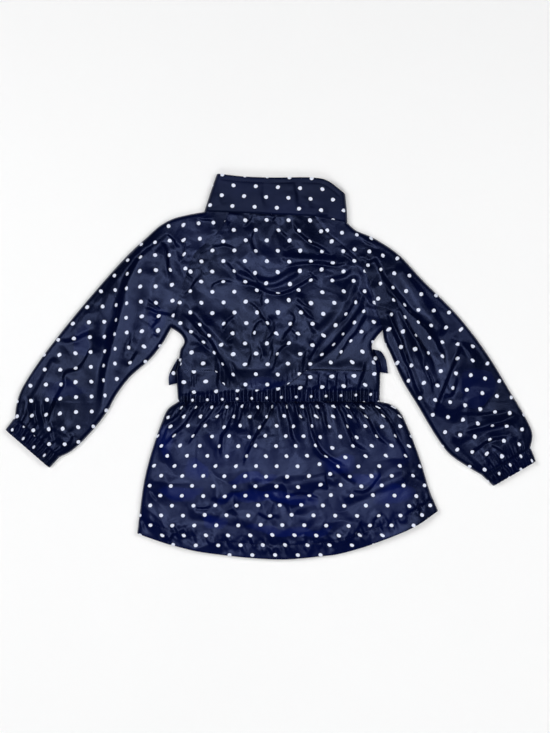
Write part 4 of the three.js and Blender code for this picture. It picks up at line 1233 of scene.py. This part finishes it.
def back():
    """The back bodice, open towards the fronts."""
    left, right = (shifted(side.raglan, -side.sign * SEAM_HALF, 0) for side in CURVES.values())
    left_seam = start_at(CURVES["left"].seam, left[-1])
    right_seam = start_at(CURVES["right"].seam, right[-1])
    neck = resample([right[0], left[0]])
    outline = loop(left, left_seam, slump, right_seam[::-1], right[::-1], neck)
    cloth = grain(0, (-5.1, 169.2), (1.0, 1.06))
    closed, seams = [left_seam, right_seam], [left, right, slump, neck]
    top = upper_sheet(outline, back_height, cloth, closed=closed, seams=seams)
    piece = make_piece("back_cloth", [top], shell, "back")
    area = flat_area(outline) * BACK_EASE


WAIST_ROW_SLOPE = 0.0416
WAIST_GATHER_ROW = -34  # rows of dots below this one are on the gathered cloth


def waist_cloth(p):
    """The rows of dots fall a little to the left, and the elastic holds more cloth than the part above."""
    x, y = p.T
    row = y + WAIST_ROW_SLOPE * (83 - x) - 0.33 * np.maximum(-36 - y, 0)
    gathered = row < WAIST_GATHER_ROW
    aside = np.where(gathered, 0, 6 * ramp(-x / 60))
    across = (x - aside) * np.where(gathered, WAIST_FULLNESS, 1.0)
    return grain(0, (-94, -13.2), (1.0, 1.06))(np.stack([across, row], 1))


def waistband():
    """The waistband goes all round, apart from the opening under the placket."""
    half = PLACKET_WIDTH / 2 + FRONT_GAP
    edges, lower = [], []
    for side in CURVES.values():
        top_end, low_end = side.waist
        edge = resample([shifted(top_end, 0, -SEAM_HALF), shifted(low_end, 0, SEAM_HALF)])
        opening = [(centre_at(y) + side.sign * half, y) for y in (edge[-1][1], edge[0][1])]
        ring = loop(edge, opening)[:: -side.sign]
        lower.append(lower_sheet(ring, waist_cloth, [edge]))
        edges.append(edge)
    left, right = edges
    top_line, low_line = resample([left[0], right[0]]), resample([left[-1], right[-1]])
    outline = loop(left, low_line, right[::-1], top_line[::-1])
    top = upper_sheet(outline, waist_height, waist_cloth, 1.15, edges, [top_line, low_line])
    piece = make_piece("waistband_cloth", [top, *lower], shell, "waistband")


def skirt_cloth(p):
    """The skirt's cloth keeps its width while it fans out, more evenly than its sides do."""
    x, y = p.T
    left = np.interp(-y, [47, 80, 113, 153, 196, 260], [-131, -147, -160, -170.5, -176.5, -184])
    right = np.interp(-y, [47, 80, 132, 165, 194, 260], [158, 181, 203.5, 213.5, 225.5, 253])
    s = (x - left) / (right - left)
    width = np.interp(-y, [50, 147, 235], [414, 392, 416])
    return np.stack([(s - 0.506) * width, 1.1 * (y + 147.1)], 1)


def skirt_back():
    """The flared back of the skirt, open towards its fronts."""
    start = resample([shifted(corner, 0, -SEAM_HALF) for corner in WAIST_LOWS])
    left = start_at(CURVES["left"].flare, start[0])
    right = start_at(CURVES["right"].flare, start[-1])
    outline = loop(start[::-1], left, hem, right[::-1])
    top = upper_sheet(outline, skirt_height, skirt_cloth, closed=[left, right], seams=[start, hem])
    piece = make_piece("skirt_back_cloth", [top], shell, "skirt_back")


COLLAR_FRONT_NECK, COLLAR_FRONT_TOP = np.array([1.0, 205.0]), np.array([2.5, 254.0])
COLLAR_FRONT_GAP = 0.4  # half the gap between the collar's two ends at the centre front


def collar():
    """The stiff collar: its back, and its two ends that meet under it at the centre front."""
    left, right = (side.collar for side in CURVES.values())
    above_neck = [shifted(point, 0, COLLAR_ABOVE_NECK) for point in RAGLAN_TOPS]
    neck = resample([left[0], *above_neck, right[0]])
    outline = loop(neck, right, collar_top[::-1], left[::-1])
    cloth = grain(-2.3, (24.3, 226.5), (0.98, 1.06))
    lines = {"closed": [left, right], "seams": [neck, collar_top]}
    parts = [upper_sheet(outline, collar_height, cloth, edge_height=COLLAR_RIM, **lines)]
    for side in CURVES.values():
        neck_part = neck[side.sign * (neck[:, 0] - COLLAR_FRONT_NECK[0]) > 0.6]
        top_part = collar_top[side.sign * (collar_top[:, 0] - COLLAR_FRONT_TOP[0]) > 1.5]
        front_gap = (side.sign * COLLAR_FRONT_GAP, 0)
        centre = np.array([COLLAR_FRONT_NECK + front_gap, COLLAR_FRONT_TOP + front_gap])
        up, down = (centre, side.collar) if side.sign < 0 else (side.collar, centre)
        ring = loop(neck_part, up, top_part[::-1], down[::-1])
        parts.append(lower_sheet(ring, cloth, [side.collar], edge_height=COLLAR_RIM))
    materials = (collar_taffeta, collar_taffeta)
    piece = make_piece("collar_cloth", parts, materials, "collar", COLLAR_SKIN)


def front(node, outline):
    """A plain panel that lies on the surface under the back, with its outer side down."""
    verts, faces = flat_sheet(outline, FRONT_STEP)
    z = FRONT_HEIGHT - FRONT_WAVE * (0.5 + 0.5 * noise(*verts.T, 24, 3))
    under = (np.column_stack([verts, z]), faces[:, ::-1], grain(0, (-8.6, 171.6))(verts))
    piece = make_piece(f"{node}_cloth", [under], shell, node, FRONT_SKIN)
    flat_area(outline)


FRONT_TOP = 204.6
FRONT_TOP_DROP = 0.7  # how much lower the right front begins
PLACKET_TOPS = (205.0, 203.8)
PLACKET_LOW = -258.9


def fronts():
    """The hidden fronts of the bodice and of the skirt, and the placket between them."""
    half = PLACKET_WIDTH / 2 + 0.2
    for name, side in CURVES.items():
        inner_top = (centre_at(FRONT_TOP) + side.sign * half, FRONT_TOP - FRONT_TOP_DROP * (side.sign > 0))
        inner_low = (centre_at(WAIST_TOP) + side.sign * half, WAIST_TOP)
        raglan = shifted(side.raglan, -side.sign * FRONT_GAP, 0)
        front(f"front_{name}", loop(raglan, side.seam[1:], [inner_low, inner_top]))
        hem_x = centre_at(HEM_Y) + side.sign * half
        hem_corner = (hem_x, np.interp(hem_x, *hem.T))
        hem_part = hem[side.sign * (hem[:, 0] - hem_x) > 0.5][:: -side.sign]
        top_y = WAIST_BOTTOM - FRONT_GAP
        inner = [hem_corner, (centre_at(top_y) + side.sign * half, top_y)]
        outline = loop([(side.flare[0][0], top_y)], side.flare[1:], hem_part, inner)
        front(f"skirt_front_{name}", outline)
    half = PLACKET_WIDTH / 2 - 0.05
    top_x, low_x = centre_at(FRONT_TOP), centre_at(HEM_Y)
    top_edge = [(top_x - half, PLACKET_TOPS[0]), (top_x + half, PLACKET_TOPS[1])]
    low_edge = [(low_x + half, PLACKET_LOW), (low_x - half, PLACKET_LOW)]
    front("placket", np.array(top_edge + low_edge))


FLAP_ROWS, FLAP_COLUMNS = 30, 18
FLAP_LIFT = 1.1  # over the cloth that it lies on


def flap(name, root, edge, dot):
    """A small tab of cloth that comes out of the side seam, lies over the coat's edge and curls down."""
    side = SIDES[name]
    t = np.linspace(0, 1, FLAP_ROWS + 1)
    s = np.linspace(0, 1, FLAP_COLUMNS + 1)
    ends = []
    for line in (smooth(root, 1.0), smooth(edge, 1.0)):
        at = t * (len(line) - 1)
        ends.append(np.stack([np.interp(at, np.arange(len(line)), column) for column in line.T], 1))
    flat = ends[0][:, None] * (1 - s)[None, :, None] + ends[1][:, None] * s[None, :, None]
    flat = flat.reshape(-1, 2)
    d, _, _, turned = nearest(flat, *segments([smooth(line, 1) for line in (side.seam, side.waist)]))
    inside = turned * side.sign < 0
    on_coat = body(d) + 2.2 * ramp(d / 12) + FLAP_LIFT
    hanging = RIM + FLAP_LIFT + 2.6 * np.exp(-d / 6) * ramp(d / 1.5)
    wave = 0.45 * np.sin(9 * np.repeat(t, FLAP_COLUMNS + 1)) * np.tile(s, FLAP_ROWS + 1)
    points = np.column_stack([flat, np.where(inside, on_coat, hanging) + wave])
    across = FLAP_COLUMNS + 1
    corners = (np.arange(FLAP_ROWS)[:, None] * across + np.arange(FLAP_COLUMNS)).ravel()
    halves = [np.stack([corners, corners + 1, corners + across + 1], 1)]
    halves.append(np.stack([corners, corners + across + 1, corners + across], 1))
    faces = np.stack(halves, 1).reshape(-1, 3)
    if turns(flat, faces[:1])[0] < 0:
        faces = faces[:, ::-1]
    sheet = (points, faces, grain(math.degrees(0.3), dot)(flat))
    piece = make_piece(f"flap_{name}_cloth", [sheet], (taffeta, taffeta), f"flap_{name}", FLAP_SKIN)


sleeve("left", SLEEVE_LEFT_CREASES, 49, (-230.5, 81.5))
sleeve("right", SLEEVE_RIGHT_CREASES, -54.5, (267.7, -12.3))
cuff("left", 50)
cuff("right", -54.5)
back()
waistband()
skirt_back()
collar()
fronts()
flap(
    "left",
    root=[(-120.5, 10.5), (-122, 3), (-124.5, -5), (-123.5, -22)],
    edge=[(-125.5, 10.5), (-132, -1), (-137.2, -13), (-137.3, -25.5)],
    dot=(-131, -9),
)
flap(
    "right",
    root=[(134.5, 17), (138, 10), (141.5, 2), (143, -7)],
    edge=[(137, 23), (148, 20.5), (155, 10), (158.3, -9.5)],
    dot=(141, 11),
)

# Topstitching

STITCH = 2.3
STITCH_GAP = 0.9
STITCH_RISE = 0.18
THREAD_RADIUS = 0.22
THREAD_CURVES = 6
STITCH_GRAIN = 0.25  # spacing of the points that a row of stitches is laid along


def stitch_rings(a, b, lift):
    """The rings of points of one stitch from a to b, raised in its middle."""
    along = (b - a) / np.linalg.norm(b - a)
    side = np.cross(along, (0, 0, 1))
    side /= np.linalg.norm(side)
    up = np.cross(side, along)
    first, last = 0.5 * (a + lift) + 0.05 * up, 0.5 * (b + lift) + 0.05 * up
    rings = [(a - 0.08 * up, 0.35), (first, 0.9), (lift, 1.0), (last, 0.9), (b - 0.08 * up, 0.35)]
    turn = math.tau * np.arange(THREAD_CURVES)[:, None] / THREAD_CURVES
    around = np.cos(turn) * side + np.sin(turn) * up
    return [centre + THREAD_RADIUS * size * around for centre, size in rings]


def stitches(name, rows):
    """Short thread stitches along lines on the cloth: (line, height) for each row of stitching."""
    rings, faces = [], []
    per = int(round((STITCH + STITCH_GAP) / STITCH_GRAIN))
    run = int(round(STITCH / STITCH_GRAIN))
    for line, height in rows:
        fine = resample(line, STITCH_GRAIN)
        fine = np.column_stack([fine, height(fine)[0]])
        for i in range(2, len(fine) - run - 2, per):
            base = THREAD_CURVES * len(rings)
            new = stitch_rings(fine[i], fine[i + run], fine[i + run // 2] + (0, 0, STITCH_RISE))
            rings += new
            for ring in range(len(new) - 1):
                for k in range(THREAD_CURVES):
                    p = base + THREAD_CURVES * ring + k
                    q = base + THREAD_CURVES * ring + (k + 1) % THREAD_CURVES
                    faces.append((p, p + THREAD_CURVES, q + THREAD_CURVES, q))
            end = range(THREAD_CURVES * (len(new) - 1), THREAD_CURVES * len(new))
            faces.append(tuple(base + k for k in range(THREAD_CURVES)))
            faces.append(tuple(base + k for k in reversed(end)))
    mesh = bpy.data.meshes.new(name)
    mesh.from_pydata((np.vstack(rings) * MM).tolist(), [], faces)
    obj = new_object(name, mesh, [thread])
    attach(obj, "root")


RAGLAN_ROWS = (2.0, 7.5)  # distances of the rows of stitches from the raglan seams
raglan_rows = [
    (beside(side.raglan, -side.sign * offset)[4:-4], back_height)
    for side in CURVES.values()
    for offset in RAGLAN_ROWS
]
stitches("raglan_stitching", raglan_rows)
stitches("hem_stitching", [(beside(hem, HEM_BAND)[8:-8], skirt_height)])
collar_rows = [
    (resample(beside(collar_top, -COLLAR_STITCH)[6:-6]), collar_height),
    (beside(CURVES["right"].collar, COLLAR_STITCH)[6:-2], collar_height),
]
stitches("collar_stitching", collar_rows)
waist_rows = [
    (resample([(-122, -4.0), (-80, -4.0)]), back_height),
    (resample([(56, -3.2), (142, -3.6)]), back_height),
]
stitches("waist_stitching", waist_rows)

# Floor, lights and camera

FLOOR_HALF = 3.0
FLOOR_DROP = 0.0002  # keeps the floor clear of the cloth that lies on it


def make_floor():
    """The white ground under the coat."""
    corners = [(-1, -1), (1, -1), (1, 1), (-1, 1)]
    mesh = bpy.data.meshes.new("floor")
    mesh.from_pydata([(FLOOR_HALF * x, FLOOR_HALF * y, 0) for x, y in corners], [], [(0, 1, 2, 3)])
    mesh.materials.append(speckled("studio_floor", FLOOR_DARK, FLOOR_LIGHT, 3.0, 3.0, 0.9, 0.1))
    floor = link(bpy.data.objects.new("floor", mesh))
    floor.location.z = -FLOOR_DROP


# Narrow strips draw the bright lines on the folds, and the softboxes only light the cloth
Light = namedtuple("Light", "name place size power glossy")
LIGHTS = rows_of(Light, [
    ("strip_left", (-0.85, 0.35, 2.3), (0.34, 2.2), 9.2, True),
    ("strip_middle", (-0.12, 0.35, 2.45), (0.2, 2.2), 1.5, True),
    ("strip_right", (0.62, 0.35, 2.3), (0.3, 2.2), 5.4, True),
    ("strip_low", (0.05, -0.46, 2.3), (1.3, 0.3), 1.7, True),
    ("softbox_left", (-2.0, 0.4, 2.0), (1.4, 1.4), 40, False),
    ("softbox_right", (2.0, 0.2, 2.0), (1.4, 1.4), 34, False),
    ("softbox_front", (0.2, -2.0, 1.9), (1.4, 1.4), 22, False),
])


def area_light(light):
    """A lit rectangle that looks at the middle of the coat."""
    data = bpy.data.lights.new(light.name, "AREA")
    data.shape = "RECTANGLE"
    data.size, data.size_y = light.size
    data.energy = light.power
    lamp = link(bpy.data.objects.new(light.name, data))
    lamp.location = light.place
    lamp.rotation_euler = (-Vector(light.place)).to_track_quat("-Z", "Y").to_euler()
    lamp.visible_glossy = light.glossy


make_floor()
for light in LIGHTS:
    area_light(light)

world = bpy.data.worlds.new("studio")
bpy.context.scene.world = world
world.use_nodes = True
fill(world.node_tree, world.node_tree.nodes["Background"], {"Color": (0.9, 0.95, 1, 1), "Strength": 0.025})

# The photograph is seen from straight above, at one size of pixel on the floor
PHOTO_HEIGHT = 733  # pixels
PIXEL = 1.35 * MM
SENSOR = 36
CAMERA_PLACE = (0.0058, -0.0001, 2.2)
camera_data = bpy.data.cameras.new("camera")
camera_data.sensor_width = SENSOR
camera_data.lens = SENSOR * CAMERA_PLACE[2] / (PHOTO_HEIGHT * PIXEL)
camera = link(bpy.data.objects.new("camera", camera_data))
camera.location = CAMERA_PLACE
bpy.context.scene.camera = camera
bpy.context.scene.view_settings.view_transform = "Standard"
